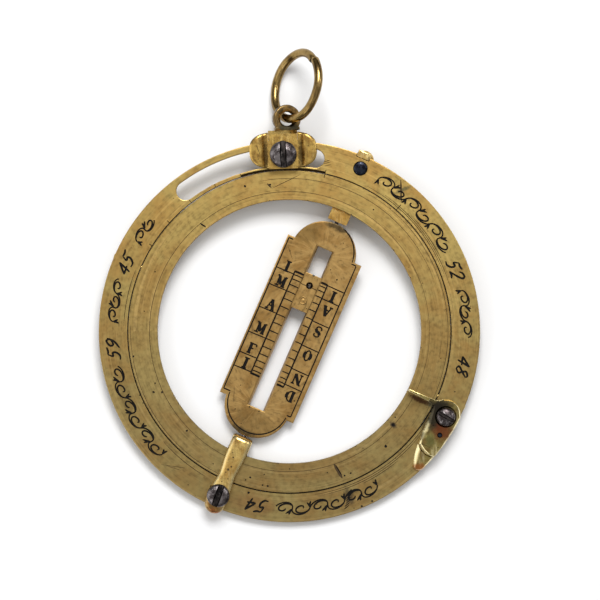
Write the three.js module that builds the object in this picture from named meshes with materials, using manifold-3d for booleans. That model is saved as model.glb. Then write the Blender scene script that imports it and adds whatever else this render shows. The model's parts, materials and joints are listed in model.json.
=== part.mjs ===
// Universal equinoctial ring dial, folded flat.
//
// A pocket sundial in brass. The meridian ring hangs from a ring and a swivel eye on a slider, which is
// clamped at the place's latitude. The hour ring lies folded inside the meridian ring and opens to a right
// angle. A slotted bridge turns on the polar axis, and a cursor with a pinhole slides along its calendar
// scale.
//
// Millimetres, +Z up. The dial lies face up. The polar axis is +Y of the dial's own frame, and the equator
// axis, which the hour ring folds on, is +X of that frame.

import * as THREE from 'three';
import { mergeVertices } from 'three/addons/utils/BufferGeometryUtils.js';
import Module from 'manifold-3d';

const DEGREE = Math.PI / 180;

// Rings
const MERIDIAN_OUTER = 35;
const MERIDIAN_INNER = 29.7;
const HOUR_OUTER = 29.6;
const HOUR_INNER = 24.2;
const HALF_THICK = 0.75;
const GAP = 0.03;                       // between two faces that touch
const POLE_TURN = -23.5 * DEGREE;       // the polar axis, from the object's +Y

// Suspension slot, measured from the polar axis, and the slider's place on it
const SLOT_START = 12 * DEGREE;
const SLOT_END = 63 * DEGREE;
const SLOT_INNER = 30.4;
const SLOT_OUTER = 33.8;
const SLIDER_ANGLE = 25.5 * DEGREE;

// Pins the hour ring folds on
const FOLD_PIN_RADIUS = 0.45;

// Brackets that carry the bridge
const BRACKET_HALF_WIDTH = 1.88;
const BRACKET_TOP = 2.48;
const BRACKET_END = 36.15;
const BLOCK_OUTER = 23.85;
const BRACKET_SCREW_AT = 32.66;
const BRACKET_SHANK = 1.3;
const UPPER_BLOCK_INNER = 21.95;
const LOWER_BLOCK_INNER = 21.1;
const TAB_HALF_WIDTH = 1.25;
const TAB_INNER = 34.45;
const TAB_OUTER = 35.8;
const TAB_OFFSET = 0.35;                // the back bracket's tab sits a little off its centre line
const BRIDGE_PIN_RADIUS = 0.35;

// Bridge and cursor
const BRIDGE_HALF_THICK = 0.6;
const BRIDGE_HALF_WIDTH = 7.34;
const BRIDGE_END_RADIUS = 6.06;
const BRIDGE_UPPER_SHOULDER = 16.3;
const BRIDGE_LOWER_SHOULDER = -15.2;
const BRIDGE_UPPER_CENTRE = 15.5;
const BRIDGE_LOWER_CENTRE = -14.7;
const BRIDGE_SLOT_UPPER = 16.5;
const BRIDGE_SLOT_LOWER = -15.3;
const BRIDGE_SLOT_FRONT = 1.65;         // half widths of the dovetailed slot, front and back
const BRIDGE_SLOT_BACK = 1.35;
const CURSOR_LOWER = 4.3;
const CURSOR_UPPER = 11.3;
const CURSOR_PLAY = 0.05;
const CURSOR_PINHOLE_AT = 9.2;
const CURSOR_RIVET_AT = 6.25;
const CURSOR_RIVET_RADIUS = 0.4;
const CURSOR_PLATE_HALF_WIDTH = 3;
const CURSOR_PLATE_THICK = 0.6;

// Stop for the hour ring
const STOP_TOP = 2.1;
const STOP_TIP_TOP = 1.45;
const STOP_SCREW_AT = [32.48, -2.88];
const STOP_SHANK = 0.9;
const STOP_PIN_AT = [32.8, -6.4];
const STOP_PIN_RADIUS = 0.45;

// Slider
const EAR_HALF_WIDTH = 6.2;
const EAR_LOWER = 29.85;
const EAR_UPPER = 36.9;
const EAR_THICK = 0.6;
const STIRRUP_HALF_WIDTH = 2.65;
const STIRRUP_LEG = 1.1;
const STIRRUP_CROWN_INNER = 35.08;
const BACK_PLATE_THICK = 0.5;
const CLAMP_AT = 32.48;
const CLAMP_SHANK = 1;
const GUIDE_HALF_ANGLE = 4.6 * DEGREE;

// Swivel eye and suspension ring
const EYE_OFFSET = 0.82;
const EYE_CENTRE = 39.05;
const EYE_RISE = 0.3;
const EYE_OUTER = 2.6;
const EYE_HOLE = 1.25;
const EYE_HALF_THICK = 0.7;
const EYE_TURN = 15 * DEGREE;
const EYE_SHANK = 0.7;
const RING_WIRE = 0.79;
const RING_RADIUS = 6.25;
const RING_CENTRE = [2.88, 45.02, 0.7];
const RING_LEAN = -15.7 * DEGREE;
const RING_TILT = -52.4 * DEGREE;

const wasm = await Module();
wasm.setup();

const brass = { color: 0xa98f55, roughness: 0.42, metalness: 0.9 };
const orangeBrass = { color: 0xb08a4c, roughness: 0.4, metalness: 0.9 };
const paleBrass = { color: 0xc9a866, roughness: 0.3, metalness: 0.95 };
const steel = { color: 0x5d5a60, roughness: 0.3, metalness: 1 };
const bluedSteel = { color: 0x23262f, roughness: 0.35, metalness: 1 };

// A closed three.js geometry as a solid that can be joined and cut.
function solidOf(geometry) {
  const bare = geometry.clone();
  bare.deleteAttribute('normal');
  bare.deleteAttribute('uv');
  const merged = mergeVertices(bare, 1e-4);
  const mesh = new wasm.Mesh({
    numProp: 3,
    vertProperties: new Float32Array(merged.attributes.position.array),
    triVerts: new Uint32Array(merged.index.array),
  });
  return new wasm.Manifold(mesh);
}

// And back again.
function geometryOf(solid) {
  const mesh = solid.getMesh();
  const geometry = new THREE.BufferGeometry();
  geometry.setAttribute('position', new THREE.BufferAttribute(new Float32Array(mesh.vertProperties), 3));
  geometry.setIndex(new THREE.BufferAttribute(new Uint32Array(mesh.triVerts), 1));
  geometry.computeVertexNormals();
  return geometry;
}

function join(...geometries) {
  return geometryOf(geometries.map(solidOf).reduce((whole, next) => whole.add(next)));
}

function cut(geometry, ...tools) {
  return geometryOf(tools.map(solidOf).reduce((whole, tool) => whole.subtract(tool), solidOf(geometry)));
}

function common(first, second) {
  return geometryOf(solidOf(first).intersect(solidOf(second)));
}

function place(parent, name, geometry, material) {
  const mesh = new THREE.Mesh(geometry, new THREE.MeshStandardMaterial(material));
  mesh.name = name;
  parent.add(mesh);
  return mesh;
}

// A flat plate between two heights, from an outline in XY.
function plate(outline, bottom, top, curveSegments = 16) {
  const options = { depth: top - bottom, bevelEnabled: false, curveSegments };
  return new THREE.ExtrudeGeometry(outline, options).translate(0, 0, bottom);
}

// A box given by its lowest and highest corners.
function block(low, high) {
  const size = high.map((value, axis) => value - low[axis]);
  const middle = high.map((value, axis) => (value + low[axis]) / 2);
  return new THREE.BoxGeometry(...size).translate(...middle);
}

// Round rods along Z, Y and X, from one end to the other.
function rodZ(radius, from, to, sides = 20) {
  const rod = new THREE.CylinderGeometry(radius, radius, to - from, sides);
  return rod.rotateX(Math.PI / 2).translate(0, 0, (from + to) / 2);
}

function rodY(radius, from, to, sides = 16) {
  return new THREE.CylinderGeometry(radius, radius, to - from, sides).translate(0, (from + to) / 2, 0);
}

function rodX(radius, from, to, sides = 16) {
  const rod = new THREE.CylinderGeometry(radius, radius, to - from, sides);
  return rod.rotateZ(Math.PI / 2).translate((from + to) / 2, 0, 0);
}

// A turned solid about Z, from [radius, height] points that start and end on the axis, lowest first.
function turned(profile, sides = 24) {
  const points = profile.map(([radius, height]) => new THREE.Vector2(radius, height));
  return new THREE.LatheGeometry(points, sides).rotateX(Math.PI / 2);
}

function polygon(points) {
  return new THREE.Shape(points.map(([x, y]) => new THREE.Vector2(x, y)));
}

function ringOutline(outer, inner) {
  const outline = new THREE.Shape().absarc(0, 0, outer, 0, 2 * Math.PI, false);
  outline.holes.push(new THREE.Path().absarc(0, 0, inner, 0, 2 * Math.PI, true));
  return outline;
}

// A screw with a domed, slotted head. Its shank runs down from under the head to the tip, which may be domed.
function slottedScrew({ head, rim, dome, shank, seat, tip, tipDome = 0, slotWidth, slotDepth }) {
  const top = seat + rim + dome;
  const domed = [0.35, 0.65, 0.88].map((part) => [head * Math.cos(Math.asin(part)), seat + rim + dome * part]);
  const profile = [[0, tip - tipDome], [shank * 0.6, tip - tipDome * 0.8], [shank, tip], [shank, seat]];
  profile.push([head, seat], [head, seat + rim], ...domed, [0, top]);
  const slot = block([-slotWidth / 2, -head * 2, top - slotDepth], [slotWidth / 2, head * 2, top + 1]);
  return cut(turned(profile), slot);
}

// A round-ended slot or block bent round the centre, between two radii and two angles.
function bentSlot(inner, outer, from, to) {
  const middle = (inner + outer) / 2;
  const endRadius = (outer - inner) / 2;
  const start = from + endRadius / middle;
  const end = to - endRadius / middle;
  const outline = new THREE.Shape();
  outline.absarc(0, 0, outer, start, end, false);
  outline.absarc(middle * Math.cos(end), middle * Math.sin(end), endRadius, end, end + Math.PI, false);
  outline.absarc(0, 0, inner, end, start, true);
  const [x, y] = [middle * Math.cos(start), middle * Math.sin(start)];
  outline.absarc(x, y, endRadius, start + Math.PI, start + 2 * Math.PI, false);
  return outline;
}

// Meridian ring, with the suspension slot, the screw and pin holes, and a rim notch at each pole.
function meridianRing() {
  const outline = ringOutline(MERIDIAN_OUTER, MERIDIAN_INNER);
  const pole = Math.PI / 2;
  const slot = bentSlot(SLOT_INNER, SLOT_OUTER, pole + SLOT_START, pole + SLOT_END);
  const through = HALF_THICK + 1;
  const tools = [plate(slot, -through, through, 12)];
  for (const side of [-1, 1]) {
    tools.push(rodZ(BRACKET_SHANK + GAP, -through, through).translate(0, side * BRACKET_SCREW_AT, 0));
    tools.push(rodX(FOLD_PIN_RADIUS + GAP / 2, 28, 37).rotateZ(side > 0 ? 0 : Math.PI));
  }
  tools.push(rimNotch(0).rotateZ(Math.PI), rimNotch(-TAB_OFFSET));
  tools.push(rodZ(STOP_SHANK + GAP, -through, through).translate(...STOP_SCREW_AT, 0));
  tools.push(rodZ(STOP_PIN_RADIUS + GAP, -through, through, 12).translate(...STOP_PIN_AT, 0));
  return cut(plate(outline, -HALF_THICK, HALF_THICK, 60), ...tools);
}

function rimNotch(offset) {
  const half = TAB_HALF_WIDTH + 2 * GAP;
  return block([offset - half, TAB_INNER - 2 * GAP, -2], [offset + half, MERIDIAN_OUTER + 2, 2]);
}

function hourRing() {
  const ring = plate(ringOutline(HOUR_OUTER, HOUR_INNER), -HALF_THICK, HALF_THICK, 60);
  return cut(ring, rodX(FOLD_PIN_RADIUS + 0.05, -HOUR_OUTER - 1, HOUR_OUTER + 1));
}

// A bracket on the ring's front, for the bridge's pivot in the +Y direction. Its arm clears the hour ring.
function bracket(blockInner, tabOffset) {
  const arm = HALF_THICK + 0.18;
  const bend = 1.1;
  const side = new THREE.Shape();
  side.moveTo(blockInner, -HALF_THICK);
  side.lineTo(BLOCK_OUTER, -HALF_THICK);
  side.lineTo(BLOCK_OUTER, arm);
  side.lineTo(MERIDIAN_INNER + 0.2, arm);
  side.lineTo(MERIDIAN_INNER + 0.2, HALF_THICK + GAP);
  side.lineTo(BRACKET_END, HALF_THICK + GAP);
  side.lineTo(BRACKET_END, BRACKET_TOP);
  side.lineTo(blockInner + bend, BRACKET_TOP);
  side.quadraticCurveTo(blockInner, BRACKET_TOP, blockInner, BRACKET_TOP - bend);
  const profile = plate(side, -3, 3, 4).rotateX(Math.PI / 2).rotateZ(Math.PI / 2);

  const endCentre = BRACKET_END - BRACKET_HALF_WIDTH;
  const plan = new THREE.Shape();
  plan.moveTo(-BRACKET_HALF_WIDTH, 20);
  plan.lineTo(BRACKET_HALF_WIDTH, 20);
  plan.absarc(0, endCentre, BRACKET_HALF_WIDTH, 0, Math.PI, false);
  const body = common(profile, plate(plan, -2, 4, 8));

  const low = [tabOffset - TAB_HALF_WIDTH, TAB_INNER, -HALF_THICK];
  const tab = block(low, [tabOffset + TAB_HALF_WIDTH, TAB_OUTER, HALF_THICK + 0.5]);
  const screwHole = rodZ(BRACKET_SHANK + GAP, -3, 4).translate(0, BRACKET_SCREW_AT, 0);
  const pivotHole = rodY(BRIDGE_PIN_RADIUS + GAP / 2, 20, BLOCK_OUTER + 1);
  return cut(join(body, tab), screwHole, pivotHole);
}

function bracketScrew() {
  const screw = slottedScrew({
    head: 2.1, rim: 0.95, dome: 0.62, shank: BRACKET_SHANK, seat: BRACKET_TOP + GAP,
    tip: -HALF_THICK - 0.1, tipDome: 0.35, slotWidth: 1.2, slotDepth: 0.85,
  });
  return screw.translate(0, BRACKET_SCREW_AT, 0);
}

// Bridge: a plate with shouldered round ends, a dovetailed slot and a bore in each end for its pivot.
function bridgePlate() {
  const body = polygon([
    [-BRIDGE_HALF_WIDTH, BRIDGE_LOWER_SHOULDER], [BRIDGE_HALF_WIDTH, BRIDGE_LOWER_SHOULDER],
    [BRIDGE_HALF_WIDTH, BRIDGE_UPPER_SHOULDER], [-BRIDGE_HALF_WIDTH, BRIDGE_UPPER_SHOULDER],
  ]);
  const ends = new THREE.Shape();
  ends.absarc(0, BRIDGE_UPPER_CENTRE, BRIDGE_END_RADIUS, 0, Math.PI, false);
  ends.absarc(0, BRIDGE_LOWER_CENTRE, BRIDGE_END_RADIUS, Math.PI, 2 * Math.PI, false);
  const low = -BRIDGE_HALF_THICK;
  const high = BRIDGE_HALF_THICK;
  const whole = join(plate(body, low, high), plate(ends, low, high, 24));
  const slot = dovetail(0, BRIDGE_SLOT_LOWER, BRIDGE_SLOT_UPPER, 0.2);
  const depth = 2.6;
  const bore = BRIDGE_PIN_RADIUS + 0.05;
  const upperEnd = BRIDGE_UPPER_CENTRE + BRIDGE_END_RADIUS;
  const lowerEnd = BRIDGE_LOWER_CENTRE - BRIDGE_END_RADIUS;
  return cut(whole, slot, rodY(bore, upperEnd - depth, upperEnd + 1), rodY(bore, lowerEnd - 1, lowerEnd + depth));
}

// The slot's section, narrower at the back, so that the cursor can't drop out behind.
function dovetail(play, lower, upper, past) {
  const slope = (BRIDGE_SLOT_FRONT - BRIDGE_SLOT_BACK) / (2 * BRIDGE_HALF_THICK);
  const front = BRIDGE_SLOT_FRONT + slope * past - play;
  const back = BRIDGE_SLOT_BACK - slope * past - play;
  const top = BRIDGE_HALF_THICK + past;
  const section = polygon([[-back, -top], [back, -top], [front, top], [-front, top]]);
  return plate(section, -upper, -lower).rotateX(Math.PI / 2);
}

function cursorBlock() {
  const body = dovetail(CURSOR_PLAY, CURSOR_LOWER, CURSOR_UPPER, 0);
  const countersink = turned([[0, 0.1], [0.25, 0.1], [0.85, 0.65], [0.85, 1], [0, 1]], 16);
  const pinhole = rodZ(0.25, -1, 1, 8).translate(0, CURSOR_PINHOLE_AT, 0);
  const rivetHead = turned([[0, 0.2], [0.8, 0.2], [0.8, 1], [0, 1]], 16);
  const rivetHole = rodZ(CURSOR_RIVET_RADIUS + GAP, -1, 1, 12);
  const at = [0, CURSOR_RIVET_AT, 0];
  return cut(
    body, countersink.translate(0, CURSOR_PINHOLE_AT, 0), pinhole, rivetHead.translate(...at),
    rivetHole.translate(...at),
  );
}

function cursorBackPlate() {
  const top = -BRIDGE_HALF_THICK - GAP;
  const low = [-CURSOR_PLATE_HALF_WIDTH, CURSOR_LOWER, top - CURSOR_PLATE_THICK];
  const body = block(low, [CURSOR_PLATE_HALF_WIDTH, CURSOR_UPPER, top]);
  const pinhole = rodZ(0.45, -3, 0, 10).translate(0, CURSOR_PINHOLE_AT, 0);
  const rivetHole = rodZ(CURSOR_RIVET_RADIUS + GAP, -3, 0, 12).translate(0, CURSOR_RIVET_AT, 0);
  return cut(body, pinhole, rivetHole);
}

function cursorRivet() {
  const plateBack = -BRIDGE_HALF_THICK - 2 * GAP - CURSOR_PLATE_THICK;
  const head = [[0.7, plateBack], [0.5, plateBack - 0.25], [0, plateBack - 0.32]].reverse();
  const shank = [[CURSOR_RIVET_RADIUS, plateBack], [CURSOR_RIVET_RADIUS, 0.23]];
  const front = [[0.75, 0.23], [0.75, BRIDGE_HALF_THICK], [0, BRIDGE_HALF_THICK]];
  return turned([...head, ...shank, ...front], 12).translate(0, CURSOR_RIVET_AT, 0);
}

// Stop plate: it follows the rim, steps down to a thin tip, and reaches over the hour ring with its leaf.
function stopPlate() {
  const outline = new THREE.Shape();
  outline.moveTo(29.85, -1.3);
  outline.quadraticCurveTo(30.9, 0.25, 32.5, 0.26);
  outline.quadraticCurveTo(34.3, 0.2, 34.95, -1.9);
  const rimEnd = -21 * DEGREE;
  outline.absarc(0, 0, MERIDIAN_OUTER + 0.1, -3.2 * DEGREE, rimEnd, true);
  outline.quadraticCurveTo(32.6, -13.9, 31.6, -14.1);
  outline.quadraticCurveTo(31.1, -14.1, 30.9, -13.7);
  outline.quadraticCurveTo(29.85, -10.8, 29.85, -6.6);
  const bottom = HALF_THICK + GAP;
  const tip = plate(outline, bottom, STOP_TIP_TOP, 8);
  const edge = new THREE.Shape();
  edge.moveTo(28, 2);
  edge.lineTo(37, 2);
  edge.lineTo(37, -10.4);
  edge.lineTo(33.6, -10.4);
  edge.quadraticCurveTo(32.2, -11.2, 29.8, -9.4);
  edge.lineTo(28, -9.4);
  const thick = common(plate(outline, bottom + 0.1, STOP_TOP, 8), plate(edge, 0, 4, 6));

  const leafFace = -HALF_THICK - 0.05;
  const over = HALF_THICK + 0.2;
  const neck = block([28, leafFace - 1, over], [30.4, leafFace, STOP_TOP]);
  const leaf = block([24.6, leafFace - 0.7, over], [28.35, leafFace, 3.6]);
  const screwHole = rodZ(STOP_SHANK + GAP, 0, 4).translate(...STOP_SCREW_AT, 0);
  const pinHole = rodZ(STOP_PIN_RADIUS + GAP, 0, 4, 12).translate(...STOP_PIN_AT, 0);
  return cut(join(tip, thick, neck, leaf), screwHole, pinHole);
}

function stopScrew() {
  const screw = slottedScrew({
    head: 1.7, rim: 0.6, dome: 0.5, shank: STOP_SHANK, seat: STOP_TOP + GAP,
    tip: -HALF_THICK - 0.05, tipDome: 0.15, slotWidth: 0.75, slotDepth: 0.6,
  });
  return screw.rotateZ(Math.PI / 2).translate(...STOP_SCREW_AT, 0);
}

// Slider's face plate, a flattened oval with a notch that the stirrup's crown passes through.
function sliderEarPlate() {
  const fullness = 2 / 2.8;
  const centre = (EAR_LOWER + EAR_UPPER) / 2;
  const halfHeight = (EAR_UPPER - EAR_LOWER) / 2;
  const steps = 36;
  const points = [];
  for (let step = 0; step < steps; step += 1) {
    const angle = (2 * Math.PI * step) / steps;
    const across = Math.sign(Math.cos(angle)) * Math.abs(Math.cos(angle)) ** fullness;
    const along = Math.sign(Math.sin(angle)) * Math.abs(Math.sin(angle)) ** fullness;
    points.push([EAR_HALF_WIDTH * across, centre + halfHeight * along]);
  }
  const bottom = HALF_THICK + GAP;
  const notchHalf = STIRRUP_HALF_WIDTH + GAP;
  const notch = block([-notchHalf, STIRRUP_CROWN_INNER - GAP, 0], [notchHalf, EAR_UPPER + 1, 4]);
  return cut(plate(polygon(points), bottom, bottom + EAR_THICK), clampHole(), notch);
}

function clampHole() {
  return rodZ(CLAMP_SHANK + GAP, -5, 5).translate(0, CLAMP_AT, 0);
}

// Strap over the rim, with a swivel hole and a recess for the swivel's riveted end in its crown.
function sliderStirrup() {
  const frontInner = HALF_THICK + EAR_THICK + 2 * GAP;
  const backInner = -HALF_THICK - BACK_PLATE_THICK - 2 * GAP;
  const bevel = 0.7;
  const front = frontInner + STIRRUP_LEG;
  const back = backInner - STIRRUP_LEG;
  const side = polygon([
    [EAR_LOWER, frontInner], [STIRRUP_CROWN_INNER, frontInner], [STIRRUP_CROWN_INNER, backInner],
    [EAR_LOWER, backInner], [EAR_LOWER, back], [EAR_UPPER - bevel, back], [EAR_UPPER, back + bevel],
    [EAR_UPPER, front - bevel], [EAR_UPPER - bevel, front], [EAR_LOWER, front],
  ]);
  const strap = plate(side, -STIRRUP_HALF_WIDTH, STIRRUP_HALF_WIDTH);
  strap.rotateX(Math.PI / 2).rotateZ(Math.PI / 2);
  const swivelHole = rodY(EYE_SHANK + 0.05, 34, 38).translate(EYE_OFFSET, 0, EYE_RISE);
  const recess = rodY(1.15, 34, STIRRUP_CROWN_INNER + 0.6).translate(EYE_OFFSET, 0, EYE_RISE);
  return cut(strap, clampHole(), swivelHole, recess);
}

// Block that fills the slot's width.
function sliderGuideBlock() {
  const play = 0.08;
  const pole = Math.PI / 2;
  const from = pole - GUIDE_HALF_ANGLE;
  const outline = bentSlot(SLOT_INNER + play, SLOT_OUTER - play, from, pole + GUIDE_HALF_ANGLE);
  return cut(plate(outline, GAP - HALF_THICK, HALF_THICK - GAP, 6), clampHole());
}

function sliderBackPlate() {
  const outline = new THREE.Shape();
  outline.absellipse(0, CLAMP_AT, 4.6, 2.5, 0, 2 * Math.PI, false, 0);
  const top = -HALF_THICK - GAP;
  return cut(plate(outline, top - BACK_PLATE_THICK, top, 16), clampHole());
}

function sliderClampScrew() {
  const front = HALF_THICK + EAR_THICK + STIRRUP_LEG + 3 * GAP;
  const back = -HALF_THICK - BACK_PLATE_THICK - STIRRUP_LEG - 2 * GAP;
  const screw = slottedScrew({
    head: 2.47, rim: 0.75, dome: 0.65, shank: CLAMP_SHANK, seat: front, tip: back,
    slotWidth: 1.1, slotDepth: 0.8,
  });
  return screw.translate(0, CLAMP_AT, 0);
}

// Eye on a short foot. Its hole is rounded, so that the wire ring can lie at a slant in it. Its own frame
// has the swivel's axis along +Y and the hole's centre at the origin.
function swivelEye() {
  const middle = (EYE_HOLE + EYE_OUTER) / 2;
  const halfWidth = (EYE_OUTER - EYE_HOLE) / 2;
  const section = [];
  const steps = 14;
  for (let step = 0; step <= steps; step += 1) {
    const angle = (2 * Math.PI * (step % steps)) / steps;
    const along = Math.sign(Math.sin(angle)) * Math.abs(Math.sin(angle)) ** 0.75;
    section.push([middle + halfWidth * Math.cos(angle), EYE_HALF_THICK * along]);
  }
  const crownTop = EAR_UPPER - EYE_CENTRE + 0.06;
  const eye = cut(turned(section, 28), block([-4, -4, -2], [4, crownTop, 2]));
  const crownInner = STIRRUP_CROWN_INNER + 0.55 - EYE_CENTRE;
  const foot = block([-2.3, crownTop, -EYE_HALF_THICK], [2.3, -1.45, EYE_HALF_THICK]);
  const shank = rodY(EYE_SHANK, crownInner - 0.1, -1.6);
  const rivetedEnd = rodY(1.05, crownInner - 0.45, crownInner);
  return join(eye, foot, shank, rivetedEnd);
}

// The object
const dial = new THREE.Group();
const polar = new THREE.Group();
polar.rotation.z = POLE_TURN;
dial.add(polar);

place(polar, 'meridian_ring', meridianRing(), brass);
place(polar, 'hour_ring', hourRing(), brass);
const foldPin = () => rodX(FOLD_PIN_RADIUS, HOUR_INNER + 0.3, MERIDIAN_OUTER + 0.12);
place(polar, 'hour_pivot_right', foldPin(), paleBrass);
place(polar, 'hour_pivot_left', foldPin(), paleBrass).rotation.z = Math.PI;

const lower = new THREE.Group();
lower.rotation.z = Math.PI;
const upper = new THREE.Group();
upper.rotation.y = Math.PI;
polar.add(lower, upper);
place(lower, 'front_bracket', bracket(LOWER_BLOCK_INNER, 0), paleBrass);
place(lower, 'front_bracket_screw', bracketScrew(), steel);
place(upper, 'back_bracket', bracket(UPPER_BLOCK_INNER, TAB_OFFSET), paleBrass);
place(upper, 'back_bracket_screw', bracketScrew(), bluedSteel);
const pinDepth = 2.3;
const bridgeUpperEnd = BRIDGE_UPPER_CENTRE + BRIDGE_END_RADIUS;
const bridgeLowerEnd = BRIDGE_END_RADIUS - BRIDGE_LOWER_CENTRE;
const pinEnd = BLOCK_OUTER - 0.05;
place(upper, 'bridge_pivot_upper', rodY(BRIDGE_PIN_RADIUS, bridgeUpperEnd - pinDepth, pinEnd), steel);
place(lower, 'bridge_pivot_lower', rodY(BRIDGE_PIN_RADIUS, bridgeLowerEnd - pinDepth, pinEnd), steel);

place(polar, 'bridge_plate', bridgePlate(), orangeBrass);
place(polar, 'cursor_block', cursorBlock(), orangeBrass);
place(polar, 'cursor_back_plate', cursorBackPlate(), orangeBrass);
place(polar, 'cursor_rivet', cursorRivet(), brass);

place(polar, 'stop_plate', stopPlate(), paleBrass);
place(polar, 'stop_screw', stopScrew(), steel);
const steadyPin = rodZ(STOP_PIN_RADIUS, -HALF_THICK + 0.1, STOP_TOP + 0.05, 12);
place(polar, 'stop_steady_pin', steadyPin, bluedSteel).position.set(...STOP_PIN_AT, 0);

const slider = new THREE.Group();
slider.rotation.z = SLIDER_ANGLE;
polar.add(slider);
place(slider, 'slider_ear_plate', sliderEarPlate(), brass);
place(slider, 'slider_stirrup', sliderStirrup(), brass);
place(slider, 'slider_guide_block', sliderGuideBlock(), brass);
place(slider, 'slider_back_plate', sliderBackPlate(), brass);
place(slider, 'slider_clamp_screw', sliderClampScrew(), steel);

const eye = place(slider, 'swivel_eye', swivelEye(), brass);
eye.position.set(EYE_OFFSET, EYE_CENTRE, EYE_RISE);
eye.rotation.y = EYE_TURN;
const ring = place(slider, 'suspension_ring', new THREE.TorusGeometry(RING_RADIUS, RING_WIRE, 10, 40), brass);
ring.position.set(...RING_CENTRE);
ring.rotation.set(0, RING_TILT, RING_LEAN, 'ZYX');

// The origin is the middle of the dial's footprint, at its lowest point.
dial.updateMatrixWorld(true);
const box = new THREE.Box3().setFromObject(dial, true);
dial.position.set(-(box.min.x + box.max.x) / 2, -(box.min.y + box.max.y) / 2, -box.min.z);

export default dial;
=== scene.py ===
"""Looks of the folding ring dial: engraved brass rings, bridge and cursor, old steel screws, wire ring.

Lengths inside the pieces are millimetres in a local frame (the polar frame, the slider's frame and so
on). Each local frame is a matrix to the row frame in metres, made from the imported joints, and the main
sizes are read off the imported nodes.
"""

import json
import math

import bmesh
import bpy
from mathutils import Matrix, Vector, noise
from mathutils.geometry import tessellate_polygon


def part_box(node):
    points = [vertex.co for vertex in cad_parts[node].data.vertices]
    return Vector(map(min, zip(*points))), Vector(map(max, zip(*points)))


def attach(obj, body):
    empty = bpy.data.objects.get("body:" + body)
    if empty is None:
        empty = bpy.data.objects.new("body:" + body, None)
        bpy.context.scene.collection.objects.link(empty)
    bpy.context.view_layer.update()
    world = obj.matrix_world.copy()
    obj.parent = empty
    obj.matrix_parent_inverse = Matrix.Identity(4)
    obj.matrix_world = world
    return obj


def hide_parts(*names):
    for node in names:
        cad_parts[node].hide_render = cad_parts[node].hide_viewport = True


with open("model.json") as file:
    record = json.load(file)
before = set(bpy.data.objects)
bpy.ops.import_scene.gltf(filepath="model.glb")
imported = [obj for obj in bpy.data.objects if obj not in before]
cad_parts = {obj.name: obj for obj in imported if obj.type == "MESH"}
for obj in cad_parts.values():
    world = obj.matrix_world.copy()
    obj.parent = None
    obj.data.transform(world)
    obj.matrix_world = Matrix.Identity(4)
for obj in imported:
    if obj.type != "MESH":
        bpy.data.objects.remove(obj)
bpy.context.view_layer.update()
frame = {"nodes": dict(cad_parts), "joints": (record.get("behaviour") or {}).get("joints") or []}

MM = 0.001
UP = Vector((0, 0, 1))


# ---------------------------------------------------------------- frames and sizes

joints = {joint["name"]: joint for joint in frame["joints"]}


def frame_of(origin, along, up=UP):
    """Local millimetres to the row frame in metres: +Y is along, and +Z is as near up as it can be."""
    y = Vector(along).normalized()
    x = y.cross(Vector(up)).normalized()
    rotation = Matrix((x, y, x.cross(y))).transposed().to_4x4()
    return Matrix.Translation(Vector(origin)) @ rotation @ Matrix.Scale(MM, 4)


ring_centre = Vector(joints["bridge_turn"]["pos_m"])
POLAR = frame_of(ring_centre, joints["bridge_turn"]["axis"])
LOWER = POLAR @ Matrix.Rotation(math.pi, 4, "Z")
UPPER = POLAR @ Matrix.Rotation(math.pi, 4, "Y")
SLIDER = frame_of(ring_centre, joints["eye_swivel"]["axis"])
swing = joints["suspension_ring_swing"]
EYE = frame_of(swing["pos_m"], joints["eye_swivel"]["axis"], swing["axis"])
RING_LEAN = math.radians(-13.7)
RING_TILT = math.radians(-52.4)
wire_low, wire_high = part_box("suspension_ring")
WIRE_RING = (
    Matrix.Translation((wire_low + wire_high) / 2)
    @ Matrix.Rotation(RING_LEAN, 4, "Z")
    @ Matrix.Rotation(RING_TILT, 4, "Y")
    @ Matrix.Scale(MM, 4)
)


def span(node, local):
    """Lowest and highest corner of a CAD node in a local frame, in millimetres."""
    inverse = local.inverted()
    points = [inverse @ vertex.co for vertex in frame["nodes"][node].data.vertices]
    low = Vector([min(point[axis] for point in points) for axis in range(3)])
    high = Vector([max(point[axis] for point in points) for axis in range(3)])
    return low, high


def radii(node):
    """Smallest and largest distance of a CAD node from the polar frame's Z axis."""
    inverse = POLAR.inverted()
    distances = [(inverse @ vertex.co).xy.length for vertex in frame["nodes"][node].data.vertices]
    return min(distances), max(distances)


def midpoint(node, local):
    """The middle of a CAD node in a local frame, in millimetres."""
    low, high = span(node, local)
    return (low + high) / 2


MERIDIAN_INNER, MERIDIAN_OUTER = radii("meridian_ring")
HOUR_INNER, HOUR_OUTER = radii("hour_ring")
FACE = span("meridian_ring", POLAR)[1].z
BRACKET_HALF_WIDTH = span("front_bracket", LOWER)[1].x
BRACKET_SCREW_AT = midpoint("front_bracket_screw", LOWER).y
BRIDGE_FACE = span("bridge_plate", POLAR)[1].z
CLAMP_AT = midpoint("slider_clamp_screw", SLIDER).y
STOP_SCREW_AT = midpoint("stop_screw", POLAR)
STEADY_PIN_AT = (32.8, -6.4)
cursor_low, cursor_high = span("cursor_block", POLAR)

# Radii of shanks and pins. Their bores are a little wider.
BRACKET_SHANK = 1.3
STOP_SHANK = 0.9
CLAMP_SHANK = 1.0
FOLD_PIN = 0.45
STEADY_PIN = 0.45
BRIDGE_PIN = 0.35
PLAY = 0.03


# ---------------------------------------------------------------- meshes

def mesh_of(points, faces):
    """A closed mesh with its faces turned outwards."""
    mesh = bpy.data.meshes.new("piece")
    mesh.from_pydata([tuple(point) for point in points], [], faces)
    mesh.validate()
    work = bmesh.new()
    work.from_mesh(mesh)
    bmesh.ops.recalc_face_normals(work, faces=work.faces)
    if work.calc_volume(signed=True) < 0:
        bmesh.ops.reverse_faces(work, faces=work.faces)
    work.to_mesh(mesh)
    work.free()
    return mesh


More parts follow.
